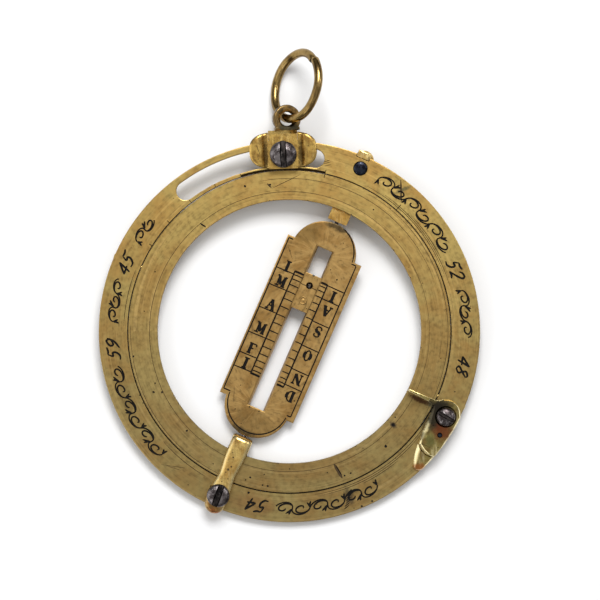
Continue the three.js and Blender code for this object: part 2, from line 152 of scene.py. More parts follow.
def band(here, there, count):
    """Faces between two loops of points, each of which starts at its own index."""
    return [(here + i, here + (i + 1) % count, there + (i + 1) % count, there + i) for i in range(count)]


def polar(radius, angle, centre=(0, 0)):
    return centre[0] + radius * math.cos(angle), centre[1] + radius * math.sin(angle)


def circle(radius, steps):
    return [polar(radius, 2 * math.pi / steps * i) for i in range(steps)]


def arc(radius, start, end, steps, centre=(0, 0)):
    return [polar(radius, start + (end - start) * i / steps, centre) for i in range(steps + 1)]


def quadratic(start, control, end, steps=12):
    """Points along a quadratic curve, without its last one."""
    line = []
    for step in range(steps):
        t = step / steps
        line.append(tuple(
            (1 - t) ** 2 * a + 2 * t * (1 - t) * b + t ** 2 * c for a, b, c in zip(start, control, end)
        ))
    return line


def inset(loop, distance, share):
    """A closed loop moved inwards, corner by corner, by its own share of a distance. Clockwise holes grow."""
    moved_loop = []
    for i, point in enumerate(loop):
        before = Vector(point) - Vector(loop[i - 1])
        after = Vector(loop[(i + 1) % len(loop)]) - Vector(point)
        first = Vector((-before.y, before.x)).normalized()
        second = Vector((-after.y, after.x)).normalized()
        middle = (first + second).normalized()
        moved_loop.append(Vector(point) + middle * distance * share(*point) / max(middle.dot(first), 0.3))
    return moved_loop


def wound(loop, anticlockwise):
    area = sum(a[0] * b[1] - b[0] * a[1] for a, b in zip(loop, loop[1:] + loop[:1]))
    return list(loop) if (area > 0) == anticlockwise else list(reversed(loop))


def plate_mesh(loops, bottom, top, edge, rounds=1, share=lambda x, y: 1.0):
    """A plate from an outline and its holes, with every rim chamfered, or rounded in several steps."""
    quarter = [math.pi / 2 * step / rounds for step in range(rounds + 1)]
    lower = [(edge * (1 - math.sin(angle)), bottom + edge * (1 - math.cos(angle))) for angle in quarter]
    upper = [(distance, bottom + top - height) for distance, height in reversed(lower)]
    return stepped_mesh(loops, lower + upper, share)


def stepped_mesh(loops, levels, share):
    """A plate whose side climbs through levels of (how far in, how high). Share scales how far in."""
    loops = [wound(loop, i == 0) for i, loop in enumerate(loops)]
    points = []
    starts = []
    for distance, height in levels:
        for loop in loops:
            starts.append(len(points))
            points += [Vector((x, y, height)) for x, y in inset(loop, distance, share)]
    faces = []
    for level in range(len(levels) - 1):
        for k, loop in enumerate(loops):
            faces += band(starts[level * len(loops) + k], starts[(level + 1) * len(loops) + k], len(loop))
    rims = [
        [Vector((x, y, 0)) for x, y, _ in points[start:start + len(loop)]]
        for start, loop in zip(starts, loops)
    ]
    cap = tessellate_polygon(rims)
    last = starts[-len(loops)]
    faces += [tuple(reversed(corners)) for corners in cap]
    faces += [tuple(last + corner for corner in corners) for corners in cap]
    return mesh_of(points, faces)


def prism_mesh(loop, bottom, top):
    """A plain straight-sided solid from an outline in XY."""
    loop = wound(loop, True)
    count = len(loop)
    points = [(x, y, z) for z in (bottom, top) for x, y in loop]
    caps = [tuple(reversed(range(count))), tuple(range(count, 2 * count))]
    return mesh_of(points, band(0, count, count) + caps)


def lathe_mesh(profile, steps=96, closed=False):
    """A turned solid about Z. The profile's ends lie on the axis, or the profile closes on itself."""
    points = []
    rings = []
    for radius, height in profile:
        if radius < 1e-9:
            rings.append([len(points)] * steps)
            points.append((0, 0, height))
        else:
            rings.append(list(range(len(points), len(points) + steps)))
            points += [(x, y, height) for x, y in circle(radius, steps)]
    faces = []
    for first, second in zip(rings, rings[1:] + rings[:1] if closed else rings[1:]):
        for i in range(steps):
            j = (i + 1) % steps
            corners = list(dict.fromkeys((first[i], first[j], second[j], second[i])))
            if len(corners) > 2:
                faces.append(corners)
    return mesh_of(points, faces)


def loft_mesh(sections):
    """A closed solid through loops of equally many points, one after another."""
    count = len(sections[0])
    last = (len(sections) - 1) * count
    faces = [face for here in range(0, last, count) for face in band(here, here + count, count)]
    faces += [tuple(reversed(range(count))), tuple(range(last, last + count))]
    return mesh_of([point for section in sections for point in section], faces)


def tube_mesh(path, half_widths, half_heights, sides):
    """A closed tube of elliptical section along a path. The section's width lies level."""
    count = len(path)
    points = []
    for i, point in enumerate(path):
        before = path[max(i - 1, 0)]
        after = path[min(i + 1, count - 1)]
        tangent = (Vector(after) - Vector(before)).normalized()
        side = tangent.cross(UP).normalized()
        normal = side.cross(tangent)
        for k in range(sides):
            angle = 2 * math.pi * (k + 0.5) / sides
            offset = side * half_widths[i] * math.cos(angle) + normal * half_heights[i] * math.sin(angle)
            points.append(Vector(point) + offset)
    last = (count - 1) * sides
    faces = [face for here in range(0, last, sides) for face in band(here, here + sides, sides)]
    faces += [tuple(range(sides)), tuple(last + k for k in reversed(range(sides)))]
    return mesh_of(points, faces)


def box_mesh(low, high):
    corners = [(x, y, z) for x in (low[0], high[0]) for y in (low[1], high[1]) for z in (low[2], high[2])]
    faces = [(0, 1, 3, 2), (4, 6, 7, 5), (0, 4, 5, 1), (2, 3, 7, 6), (0, 2, 6, 4), (1, 5, 7, 3)]
    return mesh_of(corners, faces)


def rod_mesh(radius, start, end, steps=24):
    """A plain round rod between two points, for bores."""
    axis = Vector(end) - Vector(start)
    mesh = lathe_mesh([(0, 0), (radius, 0), (radius, axis.length), (0, axis.length)], steps)
    mesh.transform(Matrix.Translation(start) @ axis.to_track_quat("Z", "Y").to_matrix().to_4x4())
    return mesh


def bore(radius, at, steps=24):
    """A cutter for an upright bore through whatever lies at a point."""
    return rod_mesh(radius, (at[0], at[1], -5), (at[0], at[1], 5), steps)


def moved(mesh, matrix):
    mesh.transform(matrix)
    return mesh


BARE = bpy.data.materials.new("bare")


def holder_of(mesh):
    holder = bpy.data.objects.new("tool", mesh)
    bpy.context.scene.collection.objects.link(holder)
    return holder


def combine(mesh, tools, operation="DIFFERENCE"):
    """The mesh with the tools cut out of it or joined to it. Cut faces take the tools' own materials."""
    for each in [mesh] + tools:
        if not each.materials:
            each.materials.append(BARE)
    target = holder_of(mesh)
    group = bpy.data.collections.new("tools")
    bpy.context.scene.collection.children.link(group)
    helpers = [holder_of(tool) for tool in tools]
    for helper in helpers:
        bpy.context.scene.collection.objects.unlink(helper)
        group.objects.link(helper)
    modifier = target.modifiers.new("cut", "BOOLEAN")
    modifier.operation = operation
    modifier.operand_type = "COLLECTION"
    modifier.collection = group
    modifier.solver = "MANIFOLD"
    modifier.material_mode = "TRANSFER"
    result = evaluated_mesh(target)
    for helper in helpers:
        bpy.data.objects.remove(helper)
    bpy.data.collections.remove(group)
    bpy.data.objects.remove(target)
    return result


def evaluated_mesh(holder):
    graph = bpy.context.evaluated_depsgraph_get()
    return bpy.data.meshes.new_from_object(
        holder.evaluated_get(graph), preserve_all_data_layers=True, depsgraph=graph
    )


def soften_edges(mesh, width, segments, angle):
    """The mesh with each edge rounded that is sharper than an angle in degrees."""
    holder = holder_of(mesh)
    bevel = holder.modifiers.new("bevel", "BEVEL")
    bevel.width = width
    bevel.segments = segments
    bevel.limit_method = "ANGLE"
    bevel.angle_limit = math.radians(angle)
    result = evaluated_mesh(holder)
    bpy.data.objects.remove(holder)
    return result


def cad_mesh(node, local):
    """A copy of a CAD node's mesh in a local frame, with its flat faces made whole again."""
    mesh = frame["nodes"][node].data.copy()
    mesh.materials.clear()
    mesh.transform(local.inverted())
    work = bmesh.new()
    work.from_mesh(mesh)
    bmesh.ops.remove_doubles(work, verts=work.verts, dist=2e-3)
    flat = math.radians(0.5)
    bmesh.ops.dissolve_limit(work, angle_limit=flat, verts=work.verts, edges=work.edges)
    work.to_mesh(mesh)
    work.free()
    return mesh


def worn(mesh, amount, size, seed):
    """Moves the points a little by smooth noise, as hand filing and wear do."""
    for vertex in mesh.vertices:
        vertex.co += noise.noise_vector(vertex.co / size + Vector((seed, seed, seed))) * amount
    return mesh


def shade(mesh, angle):
    """Smooth shading. Edges sharper than the angle stay sharp, and so do the rims of flat faces."""
    work = bmesh.new()
    work.from_mesh(mesh)
    limit = math.radians(angle)
    rim_limit = math.radians(6)
    for edge in work.edges:
        bend = edge.calc_face_angle(0)
        flats = sum(max(abs(value) for value in face.normal) > 0.9995 for face in edge.link_faces)
        edge.smooth = bend < limit and not (flats == 1 and bend > rim_limit)
    for face in work.faces:
        face.smooth = True
    work.to_mesh(mesh)
    work.free()


def piece(name, mesh, local, material, body, nodes, angle):
    """Puts a finished mesh into the row frame, on a CAD body, in place of its CAD nodes."""
    shade(mesh, angle)
    mesh.transform(local)
    if not mesh.materials:
        mesh.materials.append(BARE)
    for index, old in enumerate(mesh.materials):
        if old == BARE:
            mesh.materials[index] = material
    made = bpy.data.objects.new(name, mesh)
    bpy.context.scene.collection.objects.link(made)
    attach(made, body)
    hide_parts(*nodes)
    return made


# ---------------------------------------------------------------- materials

class Nodes:
    """A procedural material, built node by node. Its coordinates are millimetres in the row frame at rest."""

    def __init__(self, name, metallic, specular=0.5):
        self.material = bpy.data.materials.new(name)
        self.material.use_nodes = True
        self.tree = self.material.node_tree
        self.shader = self.tree.nodes["Principled BSDF"]
        self.shader.inputs["Metallic"].default_value = metallic
        self.shader.inputs["Specular IOR Level"].default_value = specular
        self.coordinates = self.tree.nodes.new("ShaderNodeTexCoord")
        self.mm = self.vector("SCALE", self.coordinates.outputs["Object"], scale=1 / MM)

    def link(self, value, socket):
        if isinstance(value, bpy.types.NodeSocket):
            self.tree.links.new(value, socket)
        else:
            socket.default_value = value

    def add(self, kind, inputs, **settings):
        """A new node. Its inputs are plain values or other nodes' outputs."""
        node = self.tree.nodes.new("ShaderNode" + kind)
        for name, value in settings.items():
            setattr(node, name, value)
        for name, value in inputs.items():
            self.link(value, node.inputs[name])
        return node

    def math(self, operation, first, second=0.0):
        return self.add("Math", {0: first, 1: second}, operation=operation).outputs[0]

    def vector(self, operation, first, second=(0, 0, 0), scale=1.0):
        inputs = {0: first}
        if operation == "SCALE":
            inputs["Scale"] = scale
        elif operation != "LENGTH":
            inputs[1] = second
        node = self.add("VectorMath", inputs, operation=operation)
        return node.outputs["Value" if operation in ("LENGTH", "DOT_PRODUCT") else "Vector"]

    def split(self, value):
        node = self.add("SeparateXYZ", {"Vector": value})
        return [node.outputs[axis] for axis in "XYZ"]

    def join(self, x, y, z):
        return self.add("CombineXYZ", {"X": x, "Y": y, "Z": z}).outputs["Vector"]

    def round_grain(self, centred, per_radius, per_angle):
        """Coordinates that run out from a centre and round it, for tool marks. The larger share is finer."""
        x, y, z = self.split(centred)
        radius = self.vector("LENGTH", self.join(x, y, 0.0))
        angle = self.math("ARCTAN2", y, x)
        return self.join(self.math("MULTIPLY", radius, per_radius), self.math("MULTIPLY", angle, per_angle), z)

    def noise(self, at, size, detail, rough=0.55, distortion=0.0):
        """Cloudy noise whose features are about size wide. Its value lies round 0.5."""
        inputs = {"Vector": at, "Scale": 1 / size, "Detail": detail, "Roughness": rough, "Distortion": distortion}
        return self.add("TexNoise", inputs).outputs["Fac"]

    def ramp(self, value, low, high, out_low=0.0, out_high=1.0):
        inputs = {"Value": value, "From Min": low, "From Max": high, "To Min": out_low, "To Max": out_high}
        return self.add("MapRange", inputs, interpolation_type="SMOOTHSTEP").outputs["Result"]

    def mix(self, amount, first, second, blend="MIX"):
        inputs = {"Factor": amount, "A": first, "B": second}
        return self.add("Mix", inputs, data_type="RGBA", blend_type=blend).outputs["Result"]

    def specks(self, size, spacing):
        """Sparse round specks of different sizes, 1 inside them."""
        cells = self.add("TexVoronoi", {"Vector": self.mm, "Scale": 1 / spacing})
        chance = self.add("SeparateColor", {"Color": cells.outputs["Color"]})
        reach = self.ramp(chance.outputs["Red"], 0.55, 1.0, 0.0, size / spacing)
        return self.ramp(self.math("SUBTRACT", reach, cells.outputs["Distance"]), 0.0, 0.35 * size / spacing)

    def tinted_patch(self, colour, centre, reach, turn, tint, strength):
        """An elliptical patch with a ragged edge: a stain, painted shade or a painted reflection. Centre and
        reach are millimetres in the row frame.
        """
        inputs = {"Vector": self.mm, "Location": centre, "Rotation": (0, 0, turn), "Scale": reach}
        place = self.add("Mapping", inputs, vector_type="TEXTURE").outputs["Vector"]
        ragged = self.noise(self.mm, 0.45 * min(reach), 3)
        distance = self.math("ADD", self.vector("LENGTH", place), ragged)
        return self.mix(self.ramp(distance, 1.6, 0.9, 0.0, strength), colour, tint)

    def worn_and_highlit_edges(self, strength):
        """How strongly a chamfer is brightened, as worn brass and as a painted highlight: up to the strength on
        sloping faces, none on the flats.
        """
        slope = self.math("ABSOLUTE", self.split(self.coordinates.outputs["Normal"])[2])
        return self.math(
            "MULTIPLY", self.ramp(slope, 0.97, 0.82, 0.0, strength), self.ramp(slope, 0.1, 0.3, 0.0, 1.0)
        )

    def finish(self, colour, roughness, height=None, depth=0.01):
        """Joins the colour, the roughness and a bump of some depth in millimetres to the shader."""
        self.link(colour, self.shader.inputs["Base Color"])
        self.link(roughness, self.shader.inputs["Roughness"])
        if height is not None:
            bump = self.add("Bump", {"Distance": depth * MM, "Strength": 1.0, "Height": height})
            self.link(bump.outputs["Normal"], self.shader.inputs["Normal"])
        return self.material


def rgb(red, green, blue):
    """Linear colour from the 0 to 255 values that a picture would show."""
    return tuple(((value / 255 + 0.055) / 1.055) ** 2.4 for value in (red, green, blue)) + (1.0,)


def spot(radius, degrees, height=FACE):
    """Millimetres in the row frame, at a radius and an anticlockwise angle from +X round the rings."""
    return ring_centre / MM + Vector((*polar(radius, math.radians(degrees)), height))


def on(local, x, y, z):
    """Millimetres in the row frame of a point given in a local frame."""
    return local @ Vector((x, y, z)) / MM


def bridge_grain(nodes, centred):
    """File marks that fan out from the centres of the bridge's two round ends."""
    end_at = 15.2
    axis = POLAR.to_3x3() @ Vector((0, 1 / MM, 0))
    end = nodes.math("MULTIPLY", nodes.math("SIGN", nodes.vector("DOT_PRODUCT", centred, axis)), end_at)
    from_end = nodes.vector("SUBTRACT", centred, nodes.vector("SCALE", axis, scale=end))
    return nodes.round_grain(from_end, 0.55, 24.0)


def brass(name, olive, brown, bright, grain="filed", roughness=0.38, patch=7.0, grime=0.5, edges=0.6, stains_and_painted_light=(),
          south_shade=None, relief=0.012):
    """Old brass: patches of two tones, tool marks, specks, stains and painted shade, edges rubbed bright with
    painted highlights.

    Patch is the patches' size in millimetres, and grime and edges are strengths; the edges' strength brightens
    chamfers with wear and a painted highlight.
    A colour of painted shade, if given, multiplies the metal towards the south, and relief is the depth of its
    tool marks in millimetres.
    """
    nodes = Nodes(name, metallic=1.0)
    centred = nodes.vector("SUBTRACT", nodes.mm, tuple(ring_centre / MM))
    if grain == "turned":
        marks = nodes.round_grain(centred, 5.0, 2.5)
    elif grain == "fanned":
        marks = bridge_grain(nodes, centred)
    else:
        marks = nodes.vector("MULTIPLY", centred, (4.0, 0.7, 1.0))
    streaks = nodes.noise(marks, 0.9, 5, 0.7)
    broad_streaks = nodes.noise(marks, 4.0, 3, 0.6)
    patches = nodes.noise(nodes.mm, patch, 4, 0.6, 0.6)
    mottle = nodes.noise(nodes.mm, 0.8, 5, 0.65)
    colour = nodes.mix(nodes.ramp(patches, 0.35, 0.68), olive, brown)
    colour = nodes.mix(nodes.ramp(broad_streaks, 0.5, 0.72, 0.0, 0.55), colour, bright)
    dirt_and_shade = nodes.ramp(nodes.math("ADD", mottle, streaks), 1.02, 0.72, 0.0, grime)
    colour = nodes.mix(dirt_and_shade, colour, rgb(92, 74, 46))
    colour = nodes.mix(nodes.math("MULTIPLY", nodes.specks(0.16, 1.7), 0.75), colour, rgb(62, 46, 30))
    # Sloping faces are brightened: partly worn brass, partly a painted highlight standing in for light on the
    # chamfers.
    if edges:
        colour = nodes.mix(nodes.worn_and_highlit_edges(edges), colour, bright)
    for place, reach, turn, tint, strength in stains_and_painted_light:
        colour = nodes.tinted_patch(colour, place, reach, turn, tint, strength)
    # Painted shade: the metal is multiplied by a darker colour towards the south, the side the light reaches
    # less.
    if south_shade:
        towards_south = nodes.ramp(nodes.split(nodes.mm)[1], -36, 22, 1.0, 0.0)
        colour = nodes.mix(towards_south, colour, south_shade, "MULTIPLY")
    shine = nodes.math("ADD", nodes.ramp(mottle, 0.3, 0.7, -0.06, 0.09), roughness)
    shine = nodes.math("ADD", shine, nodes.ramp(streaks, 0.3, 0.7, -0.05, 0.05))
    height = nodes.math("ADD", streaks, nodes.math("MULTIPLY", mottle, 0.8))
    return nodes.finish(colour, shine, height, relief)


def steel(name, light, dark, rust, scratched, roughness):
    """Old iron screws: dark and pitted, with rusty patches and bright scratches."""
    nodes = Nodes(name, metallic=1.0)
    patches = nodes.noise(nodes.mm, 1.3, 4, 0.6)
    mottle = nodes.noise(nodes.mm, 0.35, 5, 0.7)
    scratches = nodes.noise(nodes.vector("MULTIPLY", nodes.mm, (5.0, 0.8, 1.0)), 0.7, 4, 0.7)
    colour = nodes.mix(nodes.ramp(patches, 0.36, 0.64), light, dark)
    colour = nodes.mix(nodes.ramp(mottle, 0.56, 0.7, 0.0, 0.5), colour, rust)
    colour = nodes.mix(nodes.ramp(scratches, 0.6, 0.68, 0.0, 0.6), colour, scratched)
    shine = nodes.math("ADD", nodes.ramp(mottle, 0.3, 0.7, -0.1, 0.16), roughness)
    return nodes.finish(colour, shine, nodes.math("ADD", scratches, mottle), 0.016)


def engraving(name, dark, glint):
    """The blackened bottom of an engraved line, also used for black lines of painted shade in gaps and at a step.
    """
    nodes = Nodes(name, metallic=0.0, specular=0.15)
    mottle = nodes.noise(nodes.mm, 0.25, 4, 0.7)
    colour = nodes.mix(nodes.ramp(mottle, 0.55, 0.75, 0.0, 0.5), dark, glint)
    return nodes.finish(colour, nodes.ramp(mottle, 0.3, 0.7, 0.6, 0.85), mottle, 0.01)


DARK_SPOT = rgb(64, 54, 44)
# Colour of the painted shade that darkens the rings towards the south.
SOUTHERN_SHADE_TINT = (0.73, 0.77, 0.92, 1.0)
POLAR_TURN = POLAR.to_euler().z
# Each stain or patch of painted shade: its centre, its half sizes, its turn, its colour and its strength.
ring_stains_and_shade = [
    (spot(33.2, 51.5), (0.45, 2.1, 3), math.radians(51.5 - 118), rgb(84, 84, 60), 0.75),
    (spot(32.1, 290), (1.0, 2.1, 3), math.radians(20), DARK_SPOT, 0.65),
    (spot(29.6, 333.5), (1.7, 1.1, 3), 0.0, rgb(96, 98, 76), 0.7),
    (spot(25.6, 318), (0.6, 0.9, 3), math.radians(50), DARK_SPOT, 0.8),
    (spot(27.5, 310), (0.3, 0.3, 3), 0.0, DARK_SPOT, 0.9),
    # Painted shadow of the stop's leaf: reddish brown along the leaf on the hour ring, dark by the neck on the
    # meridian ring.
    (spot(27.0, 332.3), (2.6, 0.6, 3), math.radians(-24), rgb(70, 42, 26), 0.9),
    (spot(29.9, 326.5), (0.7, 2.0, 3), math.radians(-24), rgb(60, 50, 38), 0.7),
    (spot(32.5, 203), (1.4, 4.0, 3), math.radians(20), rgb(116, 90, 52), 0.4),
    (spot(32.4, 258), (5.0, 2.2, 3), math.radians(-10), rgb(150, 104, 62), 0.35),
]
ring_brass = brass(
    "aged_ring_brass", rgb(168, 145, 85), rgb(160, 127, 70), rgb(200, 168, 102), grain="turned", grime=0.3,
    edges=0.15, stains_and_painted_light=ring_stains_and_shade, south_shade=SOUTHERN_SHADE_TINT,
)
hour_brass = brass(
    "aged_hour_brass", rgb(167, 143, 84), rgb(158, 126, 70), rgb(197, 165, 101), grain="turned", patch=9.0,
    grime=0.3, edges=0.15, stains_and_painted_light=ring_stains_and_shade, south_shade=SOUTHERN_SHADE_TINT,
)
# Painted shade on the bridge's ends, where the brackets' pivot blocks stand over them.
PIVOT_SHADE = rgb(50, 45, 34)
bridge_stains_and_shade = [
    (on(POLAR, 0.6, 21.4, 0.6), (3.4, 1.3, 3), POLAR_TURN, PIVOT_SHADE, 0.8),
    (on(POLAR, -1.4, -20.6, 0.6), (4.4, 1.3, 3), POLAR_TURN, PIVOT_SHADE, 0.8),
    (on(POLAR, -4.2, 18.0, 0.6), (2.8, 3.0, 3), POLAR_TURN, rgb(104, 80, 42), 0.6),
    (on(POLAR, 0.6, -17.9, 0.6), (5.4, 2.4, 3), POLAR_TURN, rgb(96, 78, 46), 0.35),
]
bridge_brass = brass(
    "aged_bridge_brass", rgb(158, 128, 78), rgb(136, 104, 58), rgb(182, 148, 92), grain="fanned", roughness=0.42,
    patch=3.5, stains_and_painted_light=bridge_stains_and_shade,
)
bracket_brass = brass(
    "aged_bracket_brass", rgb(214, 184, 112), rgb(176, 138, 74), rgb(250, 232, 176), roughness=0.25, patch=2.5,
    grime=0.35, edges=0.5, relief=0.004,
    stains_and_painted_light=[
        # Painted reflection on the tip of the front bracket's foot: brown round it, orange-red at the tip.
        (spot(34.9, 246.5, 1.6), (2.6, 1.7, 2), math.radians(-23), rgb(104, 70, 38), 0.85),
        (spot(35.7, 247.3, 1.4), (1.8, 0.9, 1.6), math.radians(-23), rgb(150, 80, 42), 0.8),
        (spot(22.6, 66.8, -0.5), (3.0, 3.0, 3), 0.0, rgb(176, 132, 62), 0.8),
    ],
)
# Painted shade in the dips of the ear plate on each side of the strap.
painted_shade_beside_strap = [
    (on(SLIDER, side * 3.3, CLAMP_AT, 2), (0.7, 4.2, 3), SLIDER.to_euler().z, rgb(66, 52, 32), 0.85)
    for side in (-1, 1)
]
slider_brass = brass(
    "aged_slider_brass", rgb(184, 152, 82), rgb(150, 116, 60), rgb(222, 190, 116), roughness=0.27, patch=1.8,
    grime=0.3, edges=0.3, stains_and_painted_light=painted_shade_beside_strap, relief=0.004,
)
stop_brass = brass(
    "aged_stop_brass", rgb(146, 132, 78), rgb(120, 98, 54), rgb(250, 236, 184), roughness=0.22, patch=2.0,
    grime=0.25, edges=0.85, relief=0.003,
    stains_and_painted_light=[
        # Painted shade in the dished seat left of the screw.
        (on(POLAR, STOP_SCREW_AT.x - 1.6, STOP_SCREW_AT.y + 0.1, 2), (3.4, 4.4, 3), 0.0, rgb(46, 42, 36), 0.95),
        (on(POLAR, 33.0, -5.6, 2), (2.2, 2.0, 3), 0.0, rgb(112, 58, 36), 0.85),
        (on(POLAR, 31.6, -8.0, 2), (1.1, 1.5, 2), 0.0, rgb(96, 100, 58), 0.6),
        (on(POLAR, 31.7, -13.5, 1.4), (1.7, 1.2, 3), 0.0, rgb(158, 88, 42), 0.7),
        # More painted shade in the dished seat, by the neck.
        (on(POLAR, 30.4, -1.9, 2), (1.2, 1.0, 2), 0.0, rgb(46, 42, 36), 0.85),
    ],
)
wire_brass = brass(
    "aged_wire_brass", rgb(150, 124, 74), rgb(106, 84, 50), rgb(186, 158, 104), roughness=0.17, patch=2.6,
    edges=0.0, relief=0.005,
)
eye_brass = brass(
    "aged_eye_brass", rgb(128, 102, 58), rgb(72, 62, 46), rgb(170, 136, 84), roughness=0.34, patch=1.4, edges=0.0,
    # Dark foot of the eye: patina, and painted shade under the ring.
    stains_and_painted_light=[(on(EYE, 0.3, -1.8, 0), (2.6, 1.3, 3), 0.0, rgb(56, 56, 46), 0.85)],
)
screw_steel = steel(
    "old_screw_steel", rgb(118, 112, 112), rgb(56, 50, 50), rgb(80, 60, 50), rgb(214, 208, 206), roughness=0.24,
)
blued_steel = steel(
    "old_blued_steel", rgb(46, 50, 60), rgb(20, 20, 26), rgb(44, 32, 26), rgb(90, 94, 104), roughness=0.24,
)
# Painted shade: the screws' slots are coloured far darker than their heads.
slot_shade_steel = steel(
    "old_steel_painted_slot_shade", rgb(70, 64, 62), rgb(28, 26, 26), rgb(60, 44, 34), rgb(140, 134, 130), roughness=0.34,
)
# Black fill of the engravings, also used for lines of painted shade in the ring gap and at the stop's step.
BLACK_FILL_AND_SHADE = engraving("engraved_black_and_painted_shade", rgb(12, 9, 6), rgb(38, 28, 18))
SCRATCHED = engraving("scratch_brown", rgb(62, 48, 28), rgb(104, 82, 48))


# ---------------------------------------------------------------- engraved strokes

def smooth(points, steps=6):
    """Points along a Catmull-Rom curve through the given ones."""
    points = [Vector(point) for point in points]
    if len(points) == 2:
        return [points[0].lerp(points[1], step / steps) for step in range(steps + 1)]
    padded = [2 * points[0] - points[1]] + points + [2 * points[-1] - points[-2]]
    line = []
    for a, b, c, d in zip(padded, padded[1:], padded[2:], padded[3:]):
        for step in range(steps):
            t = step / steps
            bend = (2 * a - 5 * b + 4 * c - d) * t ** 2 + (3 * b - a - 3 * c + d) * t ** 3
            line.append(0.5 * (2 * b + (c - a) * t + bend))
    return line + [points[-1]]


def groove(line, height, width, depth, material, taper=0.0):
    """A cutter for one engraved stroke along a line of flat points. Taper thins its ends, as a graver does."""
    count = len(line)
    ends = [min(i, count - 1 - i) / (count - 1) * 2 for i in range(count)]
    swell = [1 - taper * (1 - min(1.0, 2.2 * end)) for end in ends]
    path = [(point[0], point[1], height) for point in line]
    mesh = tube_mesh(path, [width / 2 * part for part in swell], [depth * part for part in swell], 8)
    mesh.materials.append(material)
    return mesh


def pit(at, height, radius, depth, material=BLACK_FILL_AND_SHADE, stretch=1.0, turn=0.0):
    """A cutter for one small ragged dent or speck."""
    mesh = lathe_mesh([(0, -depth), (0.7 * radius, -0.6 * depth), (radius, 0.02), (0, 0.05)], 20)
    for vertex in mesh.vertices:
        ragged = 1 + 0.45 * noise.noise(Vector((vertex.co.x, vertex.co.y, at[0] + at[1])) / radius)
        vertex.co.x *= ragged
        vertex.co.y *= ragged
    place = Matrix.Translation((at[0], at[1], height)) @ Matrix.Rotation(turn, 4, "Z")
    mesh.transform(place @ Matrix.Diagonal((stretch, 1, 1, 1)))
    mesh.materials.append(material)
    return mesh


# Strokes of the numerals, in heights of a numeral.
DIGITS = {
    "2": [[(0.05, 0.74), (0.16, 0.95), (0.42, 1.0), (0.56, 0.8), (0.4, 0.45), (0.04, 0.03)],
          [(0.04, 0.03), (0.3, 0.09), (0.62, 0.0)]],
    "4": [[(0.5, 1.0), (0.28, 0.66), (0.04, 0.34)], [(0.04, 0.34), (0.7, 0.38)], [(0.5, 1.0), (0.48, 0.0)]],
    "5": [[(0.18, 0.96), (0.45, 0.93), (0.7, 1.02)],
          [(0.18, 0.96), (0.16, 0.58), (0.42, 0.58), (0.52, 0.3), (0.34, 0.04), (0.02, 0.06)]],
    "8": [[(0.52, 0.86), (0.34, 1.0), (0.12, 0.82), (0.3, 0.54), (0.52, 0.24), (0.3, 0.0)],
          [(0.52, 0.86), (0.3, 0.54), (0.06, 0.22), (0.3, 0.0)]],
    "9": [[(0.54, 0.78), (0.34, 1.0), (0.08, 0.74), (0.24, 0.48), (0.5, 0.62)],
          [(0.56, 0.94), (0.5, 0.4), (0.14, 0.0)]],
}

# Strokes of the punched capitals: thick stems first, then thin lines and serifs.
CAPITALS = {
    "I": ([[(0.5, 0), (0.5, 1)]], [[(0.2, 0), (0.8, 0)], [(0.2, 1), (0.8, 1)]]),
    "F": ([[(0.3, 0), (0.3, 1)]],
          [[(0.06, 0), (0.54, 0)], [(0.06, 1), (0.92, 1)], [(0.92, 1), (0.92, 0.78)],
           [(0.3, 0.52), (0.7, 0.52)]]),
    "M": ([[(0.16, 1), (0.5, 0.12)], [(0.86, 0), (0.86, 1)]],
          [[(0.16, 0), (0.16, 1)], [(0.5, 0.12), (0.86, 1)], [(-0.08, 0), (0.38, 0)], [(0.62, 0), (1.1, 0)],
           [(-0.08, 1), (0.2, 1)], [(0.84, 1), (1.1, 1)]]),
    "A": ([[(0.5, 1), (0.86, 0)]],
          [[(0.5, 1), (0.14, 0)], [(0.28, 0.36), (0.72, 0.36)], [(-0.06, 0), (0.34, 0)],
           [(0.64, 0), (1.06, 0)]]),
    "S": ([[(0.22, 0.78), (0.34, 0.56), (0.66, 0.46), (0.8, 0.24)]],
          [[(0.82, 0.72), (0.78, 0.94), (0.5, 1.02), (0.26, 0.92), (0.22, 0.78)],
           [(0.8, 0.24), (0.7, 0.04), (0.46, -0.02), (0.22, 0.06), (0.16, 0.28)]]),
    "O": ([[(0.22, 0.8), (0.12, 0.5), (0.22, 0.2)], [(0.78, 0.8), (0.88, 0.5), (0.78, 0.2)]],
          [[(0.22, 0.8), (0.5, 1.02), (0.78, 0.8)], [(0.22, 0.2), (0.5, -0.02), (0.78, 0.2)]]),
    "N": ([[(0.14, 1), (0.86, 0)]],
          [[(0.14, 0), (0.14, 1)], [(0.86, 0), (0.86, 1)], [(-0.06, 0), (0.34, 0)], [(-0.06, 1), (0.2, 1)],
           [(0.66, 1), (1.06, 1)]]),
    "D": ([[(0.24, 0), (0.24, 1)], [(0.84, 0.76), (0.9, 0.5), (0.84, 0.24)]],
          [[(0.02, 1), (0.5, 1), (0.84, 0.76)], [(0.02, 0), (0.5, 0), (0.84, 0.24)]]),
}


DIGIT_HEIGHT = 2.35
DIGIT_PITCH = 1.95
TEXT_BASE = 31.3
SLANT = 0.38
SCROLL_PITCH = 3.0


def ring_angle(degrees):
    """An anticlockwise angle from the row frame's +X, in the polar frame."""
    return math.radians(degrees) - POLAR_TURN


def script(line, degrees, width, depth, taper):
    """One stroke of slanting script from an angle on the meridian ring, clockwise with its top outwards."""
    laid = [polar(TEXT_BASE + y, ring_angle(degrees) - (x + y * SLANT) / TEXT_BASE) for x, y in line]
    return groove(laid, FACE, width, depth, BLACK_FILL_AND_SHADE, taper)


